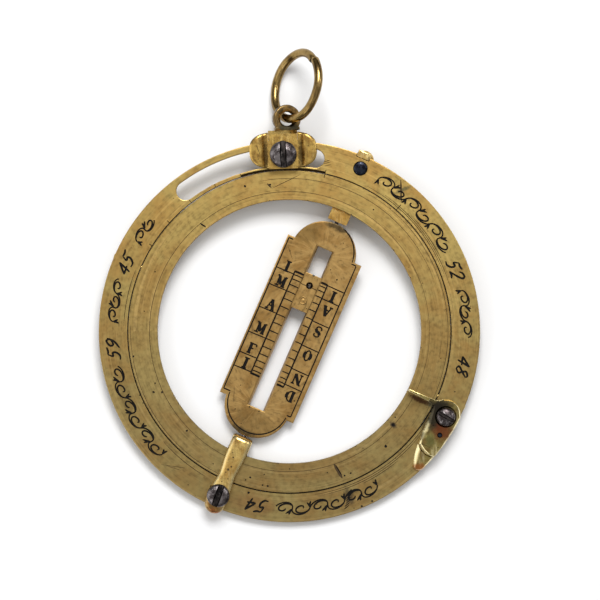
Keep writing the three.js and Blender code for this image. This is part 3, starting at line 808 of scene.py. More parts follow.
def numeral(text, degrees):
    """A latitude numeral that starts at an angle and reads clockwise."""
    tools = []
    for place, digit in enumerate(text):
        for stroke in DIGITS[digit]:
            line = [(place * DIGIT_PITCH + x * DIGIT_HEIGHT, y * DIGIT_HEIGHT) for x, y in smooth(stroke)]
            tools.append(script(line, degrees, 0.42, 0.15, 0.4))
    return tools


def scroll(start, end):
    """A running vine from one angle clockwise to another: a waving stem, a curl in each wave, two leaves."""
    length = math.radians(start - end) * TEXT_BASE
    waves = max(1, round(length / SCROLL_PITCH))
    reach = length / waves / 2
    middle = DIGIT_HEIGHT / 2

    def swing(wave, radius, angle):
        side = 1 if wave % 2 == 0 else -1
        return (2 * wave + 1) * reach + radius * math.cos(angle), middle + side * 0.72 * radius * math.sin(angle)

    tools = []
    stem = []
    for wave in range(waves):
        stem += [swing(wave, reach, math.pi * (1 - step / 10)) for step in range(10)]
        curl = [
            swing(wave, reach * (1 - 0.8 * (step / 21) ** 0.7), math.pi * (0.85 - step / 11))
            for step in range(22)
        ]
        tools.append(script(curl, start, 0.34, 0.14, 0.35))
        root = 2 * wave * reach
        away = -1 if wave % 2 == 0 else 1
        for across, fall in ((0.85, 0.95), (0.2, 1.15)):
            bend = (root + 0.3 * across + 0.14, middle + away * 0.55 * fall)
            leaf = smooth([(root, middle), bend, (root + across, middle + away * fall)], 5)
            tools.append(script(leaf, start, 0.38, 0.14, 0.8))
    return tools + [script(stem, start, 0.3, 0.14, 0.1)]


# ---------------------------------------------------------------- rings

def arc_line(radius, first, last, steps=48):
    return arc(radius, ring_angle(first), ring_angle(last), steps)


def radial_tick(inner, outer, degrees):
    line = [polar(radius, ring_angle(degrees)) for radius in (inner, (inner + outer) / 2, outer)]
    return groove(line, FACE, 0.14, 0.12, BLACK_FILL_AND_SHADE)


def mark(first, last, width, depth, material=SCRATCHED):
    """A straight scratch or nick between two (radius, degrees) points."""
    ends = [polar(radius, ring_angle(degrees)) for radius, degrees in (first, last)]
    return groove(smooth(ends, 8), FACE, width, depth, material, 0.7)


def speck(radius, degrees, size, depth=0.06, material=BLACK_FILL_AND_SHADE, stretch=1.0):
    angle = ring_angle(degrees)
    return pit(polar(radius, angle), FACE, size, depth, material, stretch, angle)


def meridian_ring_mesh():
    slot_inner = 30.4
    slot_outer = 33.8
    middle = (slot_inner + slot_outer) / 2
    end = (slot_outer - slot_inner) / 2
    first = math.pi / 2 + math.radians(12) + end / middle
    last = math.pi / 2 + math.radians(63) - end / middle
    round_last = arc(end, last, last + math.pi, 20, polar(middle, last))
    round_first = arc(end, first + math.pi, first + 2 * math.pi, 20, polar(middle, first))
    slot = (
        arc(slot_outer, first, last, 70)[:-1] + round_last + arc(slot_inner, last, first, 70)[1:-1]
        + round_first[:-1]
    )
    body = plate_mesh(
        [circle(MERIDIAN_OUTER, 540), circle(MERIDIAN_INNER, 540), slot], -FACE, FACE, 0.14, 2,
        share=lambda x, y: 0.3 if math.hypot(x, y) < slot_inner - 0.1 else 1.0,
    )

    tools = []
    for side in (-1, 1):
        screw_at = side * BRACKET_SCREW_AT
        tools.append(rod_mesh(BRACKET_SHANK + 0.04, (0, screw_at, -2), (0, screw_at, 2), 40))
        tools.append(rod_mesh(FOLD_PIN + 0.02, (side * 28, 0, 0), (side * 37, 0, 0)))
    tools += [bore(STOP_SHANK + PLAY, STOP_SCREW_AT, 32), bore(STEADY_PIN + PLAY, STEADY_PIN_AT)]
    tools.append(box_mesh((-1.31, -37, -2), (1.31, -34.39, 2)))
    tools.append(box_mesh((-1.66, 34.39, -2), (0.96, 37, 2)))
    return combine(combine(body, tools), meridian_engraving())


def meridian_engraving():
    tools = []
    for text, degrees in (("52", 24.4), ("48", 352.6), ("54", 263.2), ("59", 189.6), ("45", 161.6)):
        tools += numeral(text, degrees)
    for start, end in ((60.6, 27.2), (14.3, -1.0), (300.6, 266.0), (224.8, 191.8), (177.6, 163.8), (150.3, 141)):
        tools += scroll(start, end)
    for radius, first, last in (
        (30.25, 62, 20), (30.55, 55, 16), (30.85, 44, 26), (30.25, 328, 279), (30.6, 324, 282), (30.95, 310, 296),
        (30.4, 178, 158), (30.7, 240, 221),
    ):
        tools.append(groove(arc_line(radius, first, last), FACE, 0.13, 0.07, SCRATCHED, taper=0.6))
    for degrees in (77.3, 87, 97, 107.3, 117, 127.3, 137.8, 148):
        tools.append(radial_tick(29.4, 30.35, degrees))
    tools.append(radial_tick(29.4, 31.0, 48.7))
    # Painted shade: a black rebate round the meridian ring's inner rim darkens the gap between the rings.
    edge = MERIDIAN_INNER + 0.09
    gap_shade_rebate = lathe_mesh([(29.5, 0.5), (edge, 0.5), (edge, 1.0), (29.5, 1.0)], 540, closed=True)
    gap_shade_rebate.materials.append(BLACK_FILL_AND_SHADE)
    tools.append(gap_shade_rebate)
    recess = prism_mesh(arc_line(29.4, 77.3, 107.3) + arc_line(30.02, 107.3, 77.3), -0.1, 1.0)
    recess.materials.append(SCRATCHED)
    tools.append(recess)
    # Painted shade: a deep black groove widens the dark gap between the rings along the recess.
    tools.append(groove(arc_line(30.0, 77.3, 107.3), FACE, 0.2, 0.3, BLACK_FILL_AND_SHADE))
    tools.append(speck(30.5, 255.8, 0.24, 0.1))
    for radius, degrees, size in (
        (29.8, 203, 0.16), (29.9, 206, 0.14), (34.6, 296, 0.2), (34.7, 292.5, 0.22), (30.3, 310, 0.12),
        (33.6, 8, 0.1), (32.3, 340, 0.12), (31.8, 243, 0.16), (33.7, 236.5, 0.12), (32.4, 131, 0.1),
    ):
        tools.append(speck(radius, degrees, size))
    for count in range(7):
        out = 0.42 * count
        tools.append(mark((31.1 + out, 291.6 - out), (31.6 + out, 289.6 - out), 0.2, 0.06, BLACK_FILL_AND_SHADE))
    for first, last, width, depth in (
        ((34.6, 53.8), (31.4, 49.2), 0.34, 0.05), ((31.3, 78.9), (32.1, 76.2), 0.12, 0.04),
        ((31.6, 79.0), (32.4, 76.6), 0.12, 0.04), ((31.0, 78.4), (31.6, 76.0), 0.1, 0.04),
        ((31.4, 233), (33.9, 226), 0.1, 0.03), ((32.3, 232), (33.4, 227.5), 0.1, 0.03),
    ):
        tools.append(mark(first, last, width, depth))
    return tools


def hour_ring_mesh():
    body = plate_mesh(
        [circle(HOUR_OUTER, 540), circle(HOUR_INNER, 480)], -FACE, FACE, 0.16, 2, share=lambda x, y: 0.5,
    )
    bores = [rod_mesh(0.5, (side * 23, 0, 0), (side * 31, 0, 0)) for side in (-1, 1)]
    tools = []
    for radius, first, last in ((29.1, 60, -30), (29.15, 250, 178), (25.7, 359.9, 0.1), (28.1, 100, 20)):
        tools.append(groove(arc_line(radius, first, last, 90), FACE, 0.1, 0.04, SCRATCHED, taper=0.4))
    tools.append(radial_tick(28.95, 29.9, 77.3))
    for first, last, width, depth, material in (
        ((28.6, 289.8), (25.6, 288.6), 0.62, 0.1, SCRATCHED), ((28.2, 290.0), (25.9, 289.0), 0.2, 0.14, BLACK_FILL_AND_SHADE),
        ((25.8, 129.6), (24.5, 128.6), 0.3, 0.09, BLACK_FILL_AND_SHADE), ((26.5, 96.8), (28.9, 86.0), 0.12, 0.04, SCRATCHED),
        ((26.6, 97.2), (27.5, 98.6), 0.3, 0.06, SCRATCHED),
    ):
        tools.append(mark(first, last, width, depth, material))
    for radius, degrees, size in (
        (28.6, 262, 0.2), (28.6, 260, 0.18), (26.6, 260, 0.14), (27.7, 255, 0.2), (28.4, 253.5, 0.16),
        (27.3, 204, 0.2), (26.4, 201, 0.16), (25.9, 205.5, 0.2), (26.2, 224, 0.22), (29.0, 189, 0.2),
        (27.2, 97.5, 0.2), (27.9, 107, 0.24), (27.2, 55.5, 0.16), (27.0, 156, 0.14), (27.5, 310, 0.3),
        (25.6, 318, 0.34), (25.0, 321, 0.16), (28.3, 293.4, 0.2), (28.3, 291, 0.18), (26.8, 285, 0.12),
        (28.2, 350, 0.1), (26.0, 20, 0.1), (26.9, 172, 0.12), (28.0, 240, 0.12), (25.2, 270, 0.1),
    ):
        tools.append(speck(radius, degrees, size))
    for degrees in (38, 24, 82, 97, 98.6, 209, 213, 218, 318, 321, 353, 135, 62, 265, 300):
        tools.append(speck(HOUR_INNER + 0.08, degrees, 0.16, 0.1, SCRATCHED, stretch=0.7))
    return combine(combine(body, bores), tools)


# ---------------------------------------------------------------- screws and pins

def screw_mesh(head, rim, dome, shank, seat, tip, tip_dome, slot_width, slot_depth, turn):
    """A slotted screw along Z with a domed head and a tapered slot. Seat and tip are heights."""
    top = seat + rim + dome
    crown = [
        (head * math.cos(angle), seat + rim + dome * math.sin(angle))
        for angle in [math.pi / 2 * part / 12 for part in range(12)]
    ]
    nose = [math.radians(angle) for angle in (15, 30, 45, 60, 75)]
    profile = [(0, tip - tip_dome)]
    profile += [(shank * math.sin(angle), tip - tip_dome * math.cos(angle)) for angle in nose]
    profile += [(shank, tip), (shank, seat), (head - 0.1, seat), (head, seat + 0.1)] + crown + [(0, top)]
    bottom = top - slot_depth
    half = slot_width / 2
    mouth = half + 0.14
    section = [(-0.8 * half, bottom), (0.8 * half, bottom), (half, bottom + 0.1), (mouth, top + 0.05)]
    section += [(mouth, top + 1), (-mouth, top + 1), (-mouth, top + 0.05), (-half, bottom + 0.1)]
    slot = moved(prism_mesh(section, -2 * head, 2 * head), Matrix.Rotation(math.pi / 2, 4, "X"))
    # Painted shade: the slot's cut faces take the dark slot steel.
    slot.materials.append(slot_shade_steel)
    return moved(combine(lathe_mesh(profile, 96), [slot]), Matrix.Rotation(math.radians(turn), 4, "Z"))


def pin_mesh(radius, start, end):
    """A round pin between two heights on Z, with rounded ends."""
    nose = 0.3 * radius
    profile = [(0, start), (0.75 * radius, start), (radius, start + nose), (radius, end - nose)]
    return lathe_mesh(profile + [(0.75 * radius, end), (0, end)], 32)


def bar_section(y, half_width, bottom, top, rounding):
    """One section of a bar along Y, widely rounded at its top corners and nearly square at the bottom."""
    wide = min(1.9 * rounding, 0.95 * half_width)
    high = min(rounding, 0.8 * (top - bottom))
    small = min(0.12, 0.4 * half_width)
    loop = []
    for sign, z, across, along, start in (
        (1, bottom + small, small, small, -90), (1, top - high, wide, high, 0),
        (-1, top - high, wide, high, 90), (-1, bottom + small, small, small, 180),
    ):
        for x, height in arc(1.0, math.radians(start), math.radians(start + 90), 8):
            loop.append((sign * (half_width - across) + across * x, y, z + along * height))
    return loop


def bracket_mesh(node, local, tab_offset, width):
    """A bracket whose arm clears the hour ring. Its waist is narrow, its foot round, its edges well rounded."""
    low, high = span(node, local)
    arm = FACE + 0.18
    foot = FACE + 0.03
    bend = 1.0
    rounding = 0.78
    block_outer = 23.85
    step = MERIDIAN_INNER + 0.2
    foot_centre = high.y - width

    def half_width(y):
        waist = 0.17 * width * math.exp(-((y - 28.3) / 2.2) ** 2)
        return width - waist - 0.14 * max(0.0, 1 - (y - low.y) / 0.25)

    stations = []
    for part in range(9):
        angle = math.pi / 2 * part / 8
        y = low.y + bend * (1 - math.cos(angle))
        stations.append((y, half_width(y), -FACE, high.z - bend * (1 - math.sin(angle))))
    stations += [(y, width, bottom, high.z) for y, bottom in ((block_outer, -FACE), (block_outer + 0.01, arm))]
    for part in range(1, 17):
        y = block_outer + (step - block_outer) * part / 16
        stations.append((y, half_width(y), arm, high.z))
    for part in range(8):
        y = step + 0.01 + (foot_centre - step) * part / 8
        stations.append((y, half_width(y), foot, high.z))
    for part in range(14):
        angle = math.pi / 2 * part / 14
        y = foot_centre + width * math.sin(angle)
        fallen = max(0.0, (y - high.y + rounding) / rounding)
        drop = rounding * (1 - math.sqrt(1 - fallen ** 2))
        stations.append((y, width * math.cos(angle), foot, high.z - drop))
    body = loft_mesh([bar_section(*station, rounding) for station in stations])
    tab = box_mesh((tab_offset - 1.25, 34.45, -FACE), (tab_offset + 1.25, 35.8, FACE + 0.5))
    body = combine(body, [soften_edges(tab, 0.2, 3, 35)], "UNION")
    holes = [
        bore(BRACKET_SHANK + PLAY, (0, BRACKET_SCREW_AT), 40),
        rod_mesh(BRIDGE_PIN + 0.02, (0, 20, 0), (0, block_outer + 1, 0)),
    ]
    specks = [
        pit((x, y), high.z, size, 0.08, SCRATCHED)
        for x, y, size in (
            (0.2, 27.6, 0.24), (-0.1, 26.9, 0.18), (0.25, 25.2, 0.16), (-0.45, 29.2, 0.14), (0.7, 24.4, 0.12),
            (0.4, 30.1, 0.12), (0.45, 28.2, 0.14),
        )
    ]
    return combine(body, holes + specks)


def stop_mesh():
    """The stop follows the rim, steps down to a thin tip, and reaches over the hour ring with its leaf."""
    low, high = span("stop_plate", POLAR)
    bottom = low.z
    top = 2.1
    tip_top = 1.45
    rim = MERIDIAN_OUTER + 0.1
    rim_start = math.radians(-3.2)
    rim_end = math.radians(-21)
    step_end = math.radians(-17.2)
    inner = 29.62
    neck_and_head = (
        quadratic((inner, -1.3), (30.9, 0.25), (32.5, 0.26))
        + quadratic((32.5, 0.26), (34.3, 0.2), (34.95, -1.9))
    )
    step_line = quadratic(polar(rim, step_end), (32.0, -11.4), (inner + 0.1, -9.4))
    outline = (
        neck_and_head + arc(rim, rim_start, rim_end, 30)[:-1]
        + quadratic(polar(rim, rim_end), (32.5, -13.9), (31.4, -14.1))
        + quadratic((31.4, -14.1), (30.7, -14.1), (30.5, -13.5))
        + quadratic((30.5, -13.5), (inner, -10.8), (inner, -6.6)) + [(inner, -6.6)]
    )
    thick_outline = (
        neck_and_head + arc(rim, rim_start, step_end, 24)[:-1] + step_line
        + quadratic((inner + 0.1, -9.4), (inner, -8.2), (inner, -6.6)) + [(inner, -6.6)]
    )

    def share(x, y):
        """Fine bevels round the head, along the rim and at the tip, broad ones on the inner side and the step."""
        along = min(1.0, max(0.0, (-3 - y) / 2.5)) * min(1.0, max(0.0, (y + 14.3) / 2.5))
        return 0.2 + 0.8 * along * min(1.0, max(0.0, (rim - 0.1 - math.hypot(x, y)) / 1.6))

    def share_by_the_step(x, y):
        return share(x, y) * min(1.0, max(0.45, (y + 9.6) / 2.5))

    def bevelled(loop, low, high, share):
        levels = [(0.05, low), (0.0, low + 0.05), (0.0, high - 0.62), (0.08, high - 0.5), (0.62, high - 0.2)]
        return stepped_mesh([loop], levels + [(1.05, high - 0.05), (1.4, high)], share)

    thin = bevelled(outline, bottom, tip_top, share)
    thick = bevelled(thick_outline, bottom + 0.2, top, share_by_the_step)
    # Painted shade: a black groove along the foot of the step.
    dirt_and_shade = groove([(x, y - 0.06) for x, y in step_line[1:]], tip_top - 0.16, 0.2, 0.2, BLACK_FILL_AND_SHADE)
    over = FACE + 0.2
    face = -FACE - 0.05
    neck_outline = (
        [(28.2, face)] + quadratic((29.4, face), (30.1, face + 0.02), (30.9, face + 0.75))
        + [(30.9, face + 0.75), (31.2, face - 1.5)]
        + quadratic((30.4, face - 1.6), (29.6, face - 0.8), (28.2, face - 0.72)) + [(28.2, face - 0.72)]
    )
    neck = soften_edges(prism_mesh(neck_outline, over, top), 0.16, 3, 50)
    leaf_outline = [(24.25, face - 0.5), (24.25, face), (28.5, face), (28.5, face - 0.72)]
    leaf = soften_edges(prism_mesh(leaf_outline, over, high.z), 0.15, 3, 50)
    dish = lathe_mesh([(0, 1.84), (1.0, 1.84), (1.75, 1.9), (2.1, 2.2), (0, 2.2)], 64)
    dish_at = Matrix.Translation((STOP_SCREW_AT.x, STOP_SCREW_AT.y, 0))
    body = combine(combine(thin, [dirt_and_shade]), [thick, neck, leaf], "UNION")
    body = combine(body, [moved(dish, dish_at)])
    return combine(body, [
        bore(STOP_SHANK + PLAY, STOP_SCREW_AT, 32), bore(STEADY_PIN + PLAY, STEADY_PIN_AT),
        pit((31.0, -5.2), top, 0.12, 0.06), pit((33.4, -8.6), top, 0.1, 0.05),
    ])


SIDE_ON = Matrix.Rotation(math.pi / 2, 4, "Z") @ Matrix.Rotation(math.pi / 2, 4, "X")
ALONG_X = Matrix.Rotation(math.pi / 2, 4, "Y")
ALONG_Y = Matrix.Rotation(-math.pi / 2, 4, "X")


# ---------------------------------------------------------------- bridge and cursor

BRIDGE_HALF_WIDTH = 7.34
BRIDGE_END_RADIUS = 6.06
UPPER_SHOULDER = 16.3
LOWER_SHOULDER = -15.2
UPPER_CENTRE = 15.5
LOWER_CENTRE = -14.7
SLOT_UPPER = 16.5
SLOT_LOWER = -15.3
SLOT_FRONT = 1.65
SLOT_BACK = 1.35
CALENDAR_ZERO = 0.37
PIVOT_TO_HOUR_CIRCLE = 23.7
OBLIQUITY = math.radians(23.44)
YEAR = 365.25
HALF_YEAR = 182.6
SPRING = 80.5                           # days of the year
SUMMER = 171.8
WINTER = -10.7
LEFT_SCALE = -3.49
RIGHT_SCALE = 3.03


def declination(day):
    """The sun's declination on a day of the year."""
    return math.asin(math.sin(OBLIQUITY) * math.sin(2 * math.pi * (day - SPRING) / YEAR))


def calendar_height(day):
    """Where a day stands on the bridge's scale."""
    return CALENDAR_ZERO + PIVOT_TO_HOUR_CIRCLE * math.tan(declination(day))


def bridge_outline():
    upper = math.asin((UPPER_SHOULDER - UPPER_CENTRE) / BRIDGE_END_RADIUS)
    lower = math.asin((LOWER_CENTRE - LOWER_SHOULDER) / BRIDGE_END_RADIUS)
    half = BRIDGE_HALF_WIDTH
    return (
        [(half, LOWER_SHOULDER), (half, UPPER_SHOULDER)]
        + arc(BRIDGE_END_RADIUS, upper, math.pi - upper, 60, (0, UPPER_CENTRE))
        + [(-half, UPPER_SHOULDER), (-half, LOWER_SHOULDER)]
        + arc(BRIDGE_END_RADIUS, math.pi + lower, 2 * math.pi - lower, 60, (0, LOWER_CENTRE))
    )


def bridge_line(points, width=0.27, depth=0.12, material=BLACK_FILL_AND_SHADE, taper=0.15):
    return groove(smooth(points, 4), BRIDGE_FACE, width, depth, material, taper)


def letter(name, centre, upside_down=False, size=(1.6, 1.85)):
    """A punched capital, centred on a point of the bridge's face."""
    thick, thin = CAPITALS[name]
    sign = -1 if upside_down else 1
    tools = []
    for strokes, width in ((thick, 0.62), (thin, 0.3)):
        for stroke in strokes:
            placed = [
                (centre[0] + sign * (x - 0.5) * size[0], centre[1] + sign * (y - 0.5) * size[1])
                for x, y in stroke
            ]
            tools.append(groove(smooth(placed, 5), BRIDGE_FACE, width, 0.15, BLACK_FILL_AND_SHADE))
    return tools


def bridge_engraving():
    left, right = -6.95, 6.45
    upper, lower = 15.8, -14.3
    tools = [
        bridge_line([(left, upper), (left, 0), (left, lower)]),
        bridge_line([(right, upper), (right, 0), (right, lower)]),
        bridge_line([(left, upper), (-6.1, upper)]),
        bridge_line([(right, upper + 0.1), (5.5, upper + 0.1)]),
        bridge_line([(left, lower), (-5.6, lower)]),
        bridge_line([(right, lower), (5.7, lower)]),
    ]
    for radius, first, last, steps, centre, taper in (
        (5.72, 176, 104, 30, (-0.3, 15.9), 0.4), (5.6, 3, 72, 30, (-0.1, 15.9), 0.4),
        (5.68, 182, 356, 60, (0.05, -14.35), 0.2),
    ):
        line = arc(radius, math.radians(first), math.radians(last), steps, centre)
        tools.append(groove(line, BRIDGE_FACE, 0.27, 0.12, BLACK_FILL_AND_SHADE, taper))
    top = calendar_height(SUMMER)
    bottom = calendar_height(WINTER)
    for first, scale, edge in ((WINTER, LEFT_SCALE, -SLOT_FRONT), (SUMMER, RIGHT_SCALE, SLOT_FRONT)):
        tools.append(bridge_line([(scale, top), (scale, 0), (scale, bottom)], 0.32, 0.13))
        for step in range(19):
            height = calendar_height(first + step * HALF_YEAR / 18)
            line = [(scale, height), ((scale + edge) / 2, height + 0.04), (edge, height)]
            tools.append(bridge_line(line, 0.24))
    for border, scale, days in (
        (left, LEFT_SCALE, (1, 32, 60, 91, 121, 152)), (right, RIGHT_SCALE, (182, 213, 244, 274, 305, 335)),
    ):
        for day in days:
            height = calendar_height(day)
            tools.append(bridge_line([(border, height), (scale, height + 0.06)], 0.25))
    for name, height in (("I", -8.44), ("F", -5.6), ("M", -1.47), ("A", 3.3), ("M", 7.9), ("I", 10.85)):
        tools += letter(name, (-5.1, height))
    for name, height in (("I", 9.0), ("A", 6.05), ("S", 2.0), ("O", -2.75), ("N", -7.5), ("D", -10.85)):
        tools += letter(name, (4.8, height), upside_down=True)
    for x, y, size in (
        (-1.2, -15.6, 0.16), (0.7, -15.6, 0.16), (-3.5, -17, 0.12), (-1.4, -19, 0.1), (4.2, 12.2, 0.16),
        (2.4, 13.4, 0.12), (-5.8, 13.6, 0.12), (5.9, -11.3, 0.14), (-4.3, -12.6, 0.1), (2.6, 18.8, 0.1),
    ):
        tools.append(pit((x, y), BRIDGE_FACE, size, 0.06))
    tools.append(bridge_line([(-6.5, 14.3), (-4.8, 12.4)], 0.1, 0.04, SCRATCHED, 0.8))
    tools.append(bridge_line([(-5.4, -13), (-4.2, -16)], 0.08, 0.03, SCRATCHED, 0.8))
    return tools


def rectangle(half, lower, upper, height):
    return [(-half, lower, height), (half, lower, height), (half, upper, height), (-half, upper, height)]


def dovetail_mesh(play, lower, upper, past):
    """The bridge slot's section between two heights on its axis, carried past both faces."""
    slope = (SLOT_FRONT - SLOT_BACK) / (2 * BRIDGE_FACE)
    back = SLOT_BACK - slope * past - play
    front = SLOT_FRONT + slope * past - play
    return loft_mesh([
        rectangle(back, lower, upper, -BRIDGE_FACE - past), rectangle(front, lower, upper, BRIDGE_FACE + past),
    ])


def bridge_mesh():
    body = plate_mesh([bridge_outline()], -BRIDGE_FACE, BRIDGE_FACE, 0.16, 2)
    slot = dovetail_mesh(0.0, SLOT_LOWER, SLOT_UPPER, 0.4)
    flare = 0.12
    grow = 3.2 * flare
    mouth = loft_mesh([
        rectangle(SLOT_FRONT, SLOT_LOWER, SLOT_UPPER, BRIDGE_FACE - flare),
        rectangle(SLOT_FRONT + grow, SLOT_LOWER - grow, SLOT_UPPER + grow, BRIDGE_FACE + flare),
    ])
    bores = [rod_mesh(0.4, (0, 18.9, 0), (0, 23, 0)), rod_mesh(0.4, (0, -22, 0), (0, -18.1, 0))]
    return combine(combine(body, [slot, mouth] + bores), bridge_engraving())


CURSOR_PINHOLE_AT = 9.2
CURSOR_RIVET_AT = 6.25


def cursor_mesh():
    body = soften_edges(dovetail_mesh(0.05, cursor_low.y, cursor_high.y, 0.0), 0.09, 2, 35)
    pinhole = lathe_mesh([(0, -1), (0.25, -1), (0.25, -0.2), (0.64, BRIDGE_FACE), (0.64, 1), (0, 1)], 40)
    pinhole.materials.append(screw_steel)
    rivet_hole = lathe_mesh([(0, -1), (0.43, -1), (0.43, 0.2), (0.8, 0.2), (0.8, 1), (0, 1)], 40)
    body = combine(body, [
        moved(pinhole, Matrix.Translation((0, CURSOR_PINHOLE_AT, 0))),
        moved(rivet_hole, Matrix.Translation((0, CURSOR_RIVET_AT, 0))),
    ])
    return combine(body, [
        groove([(x / 4, 8.95) for x in range(-7, 8)], BRIDGE_FACE, 0.14, 0.08, BLACK_FILL_AND_SHADE),
        pit((0, cursor_high.y - 0.05), BRIDGE_FACE, 0.24, 0.12),
        pit((1.2, 5.1), BRIDGE_FACE, 0.12, 0.06),
    ])


def rivet_mesh():
    """The rivet's front end is hammered flush, with a worn rim round it."""
    low, high = span("cursor_rivet", POLAR)
    profile = [
        (0, low.z), (0.5, low.z + 0.07), (0.7, low.z + 0.32), (0.4, low.z + 0.32), (0.4, 0.23), (0.75, 0.23),
        (0.75, high.z - 0.05), (0.66, high.z), (0.5, high.z - 0.02), (0.44, high.z - 0.1), (0.3, high.z - 0.1),
        (0.18, high.z - 0.03), (0, high.z - 0.02),
    ]
    return moved(lathe_mesh(profile, 48), Matrix.Translation((0, CURSOR_RIVET_AT, 0)))


# ---------------------------------------------------------------- slider

def ear_plate_mesh():
    """The slider's face plate: a flattened oval that bulges in each ear and dips beside the strap."""
    low, high = span("slider_ear_plate", SLIDER)
    centre = (low.y + high.y) / 2
    half_width = high.x
    half_height = (high.y - low.y) / 2
    fullness = 2 / 2.8
    steps = 144
    outline = []
    for step in range(steps):
        angle = 2 * math.pi * step / steps
        across = math.copysign(abs(math.cos(angle)) ** fullness, math.cos(angle))
        along = math.copysign(abs(math.sin(angle)) ** fullness, math.sin(angle))
        outline.append(Vector((half_width * across, half_height * along, 0)))

    def height(point, depth):
        dip = 0.3 * math.exp(-((abs(point.x) - 3.2) / 0.7) ** 2)
        bulge = 0.1 * math.exp(-((abs(point.x) - 4.9) / 1.2) ** 2)
        rim = 0.22 * (1 - min(1.0, depth / 0.09)) ** 2
        return high.z - 0.1 - dip + bulge - rim

    points = []
    levels = [(1.0, None), (1.0, 0.0)] + [(1 - depth, depth) for depth in (0.02, 0.05, 0.09)]
    levels += [(1 - 0.09 - 0.91 * step / 30, 1.0) for step in range(1, 30)]
    for scale, depth in levels:
        for point in outline:
            z = low.z if depth is None else height(point * scale, depth)
            points.append(Vector((point.x * scale, point.y * scale + centre, z)))
    last = (len(levels) - 1) * steps
    faces = [face for here in range(0, last, steps) for face in band(here, here + steps, steps)]
    faces.append(tuple(reversed(range(steps))))
    points.append(Vector((0, centre, high.z - 0.1)))
    faces += [(last + i, last + (i + 1) % steps, len(points) - 1) for i in range(steps)]
    body = mesh_of(points, faces)
    notch = box_mesh((-2.68, 35.05, 0), (2.68, 38, 4))
    hole = bore(CLAMP_SHANK + PLAY, (0, CLAMP_AT), 32)
    scratches = [
        groove(smooth([(-4.9, 34.6), (-4.2, 32.4)], 6), high.z - 0.02, 0.1, 0.05, SCRATCHED, 0.7),
        pit((4.0, 35.6), high.z - 0.04, 0.14, 0.08), pit((-4.6, 31.8), high.z - 0.02, 0.12, 0.08),
        pit((4.6, 33.9), high.z, 0.12, 0.08),
    ]
    return combine(combine(body, [notch, hole]), scratches)


def stirrup_mesh():
    """A strap bent over the rim, with the clamp screw's hole and the swivel's hole and recess."""
    low, high = span("slider_stirrup", SLIDER)
    front = high.z
    back = low.z
    leg = 1.1
    inner = 35.08
    bevel = 0.7
    side = [
        (low.y, front - leg), (inner, front - leg), (inner, back + leg), (low.y, back + leg), (low.y, back),
        (high.y - bevel, back), (high.y, back + bevel), (high.y, front - bevel), (high.y - bevel, front),
        (low.y, front),
    ]
    body = moved(prism_mesh(side, low.x, high.x), SIDE_ON)
    body = combine(body, [
        bore(CLAMP_SHANK + PLAY, (0, CLAMP_AT), 40),
        rod_mesh(0.75, (0.82, 34, 0.3), (0.82, 38, 0.3)),
        rod_mesh(1.15, (0.82, 34, 0.3), (0.82, inner + 0.6, 0.3), 32),
    ])
    return soften_edges(body, 0.22, 3, 35)


# ---------------------------------------------------------------- eye and suspension ring

def eye_mesh():
    """A flat-faced eye with a rounded hole, on a short foot, with a riveted shank below."""
    hole = 1.25
    outer = 2.6
    half = 0.7
    middle = (hole + outer) / 2
    edge = 0.3
    inner_side = []
    for angle in [math.pi / 2 * (part / 8 - 1) for part in range(17)]:
        height = half * math.copysign(abs(math.sin(angle)) ** 0.75, math.sin(angle))
        inner_side.append((middle - (middle - hole) * math.cos(angle), height))
    outer_side = [
        polar(edge, angle, (outer - edge, math.copysign(half - edge, math.sin(angle))))
        for angle in [math.pi / 2 * (1 - part / 6) for part in range(13) if part != 6]
    ]
    foot_top = -2.09
    ring = lathe_mesh(inner_side + outer_side, 72, closed=True)
    ring = combine(ring, [box_mesh((-4, -4, -2), (4, foot_top, 2))])
    foot = soften_edges(box_mesh((-2.3, foot_top, -half), (2.3, -1.45, half)), 0.15, 3, 40)
    low, high = span("swivel_eye", EYE)
    shank = rod_mesh(0.7, (0, low.y + 0.35, 0), (0, -1.6, 0), 32)
    riveted_end = rod_mesh(1.05, (0, low.y, 0), (0, low.y + 0.45, 0), 32)
    body = combine(ring, [foot, shank, riveted_end], "UNION")
    return worn(body, 0.03, 1.3, 5.0)


def wire_ring_mesh():
    """A ring of round wire, bent from a rod, whose two ends meet in a slightly stepped joint."""
    radius = 6.25
    wire = 0.79
    joint = math.radians(57.5)
    gap = math.radians(2.0)
    steps = 170
    path = []
    half_sizes = []
    for step in range(steps + 1):
        part = step / steps
        angle = joint + gap / 2 + part * (2 * math.pi - gap)
        from_end = min(part, 1 - part)
        spring = 0.17 * math.exp(-from_end / 0.05) * (1 if part > 0.5 else -1)
        reach = radius + spring + 0.03 * math.sin(5 * angle)
        path.append((reach * math.cos(angle), reach * math.sin(angle), 0.05 * math.sin(2 * angle)))
        half_sizes.append(wire * (0.9 if step in (0, steps) else 1.0))
    body = tube_mesh(path, half_sizes, [0.99 * size for size in half_sizes], 28)
    body.materials.append(BARE)
    body.materials.append(BLACK_FILL_AND_SHADE)
    for face in body.polygons:
        if len(face.vertices) > 4:
            face.material_index = 1
    return worn(body, 0.03, 2.6, 8.0)


# ---------------------------------------------------------------- put together

def build(node, mesh, local, material, body, angle=32):
    return piece(node + "_finish", mesh, local, material, body, [node], angle)


build("meridian_ring", meridian_ring_mesh(), POLAR, ring_brass, "dial_frame")
build("hour_ring", hour_ring_mesh(), POLAR, hour_brass, "hour_ring")
for side, turn in (("right", 0), ("left", math.pi)):
    place = POLAR @ Matrix.Rotation(turn, 4, "Z") @ ALONG_X
    pin = pin_mesh(FOLD_PIN, 24.5, 35.12)
    build("hour_pivot_" + side, pin, place, bracket_brass, "dial_frame")


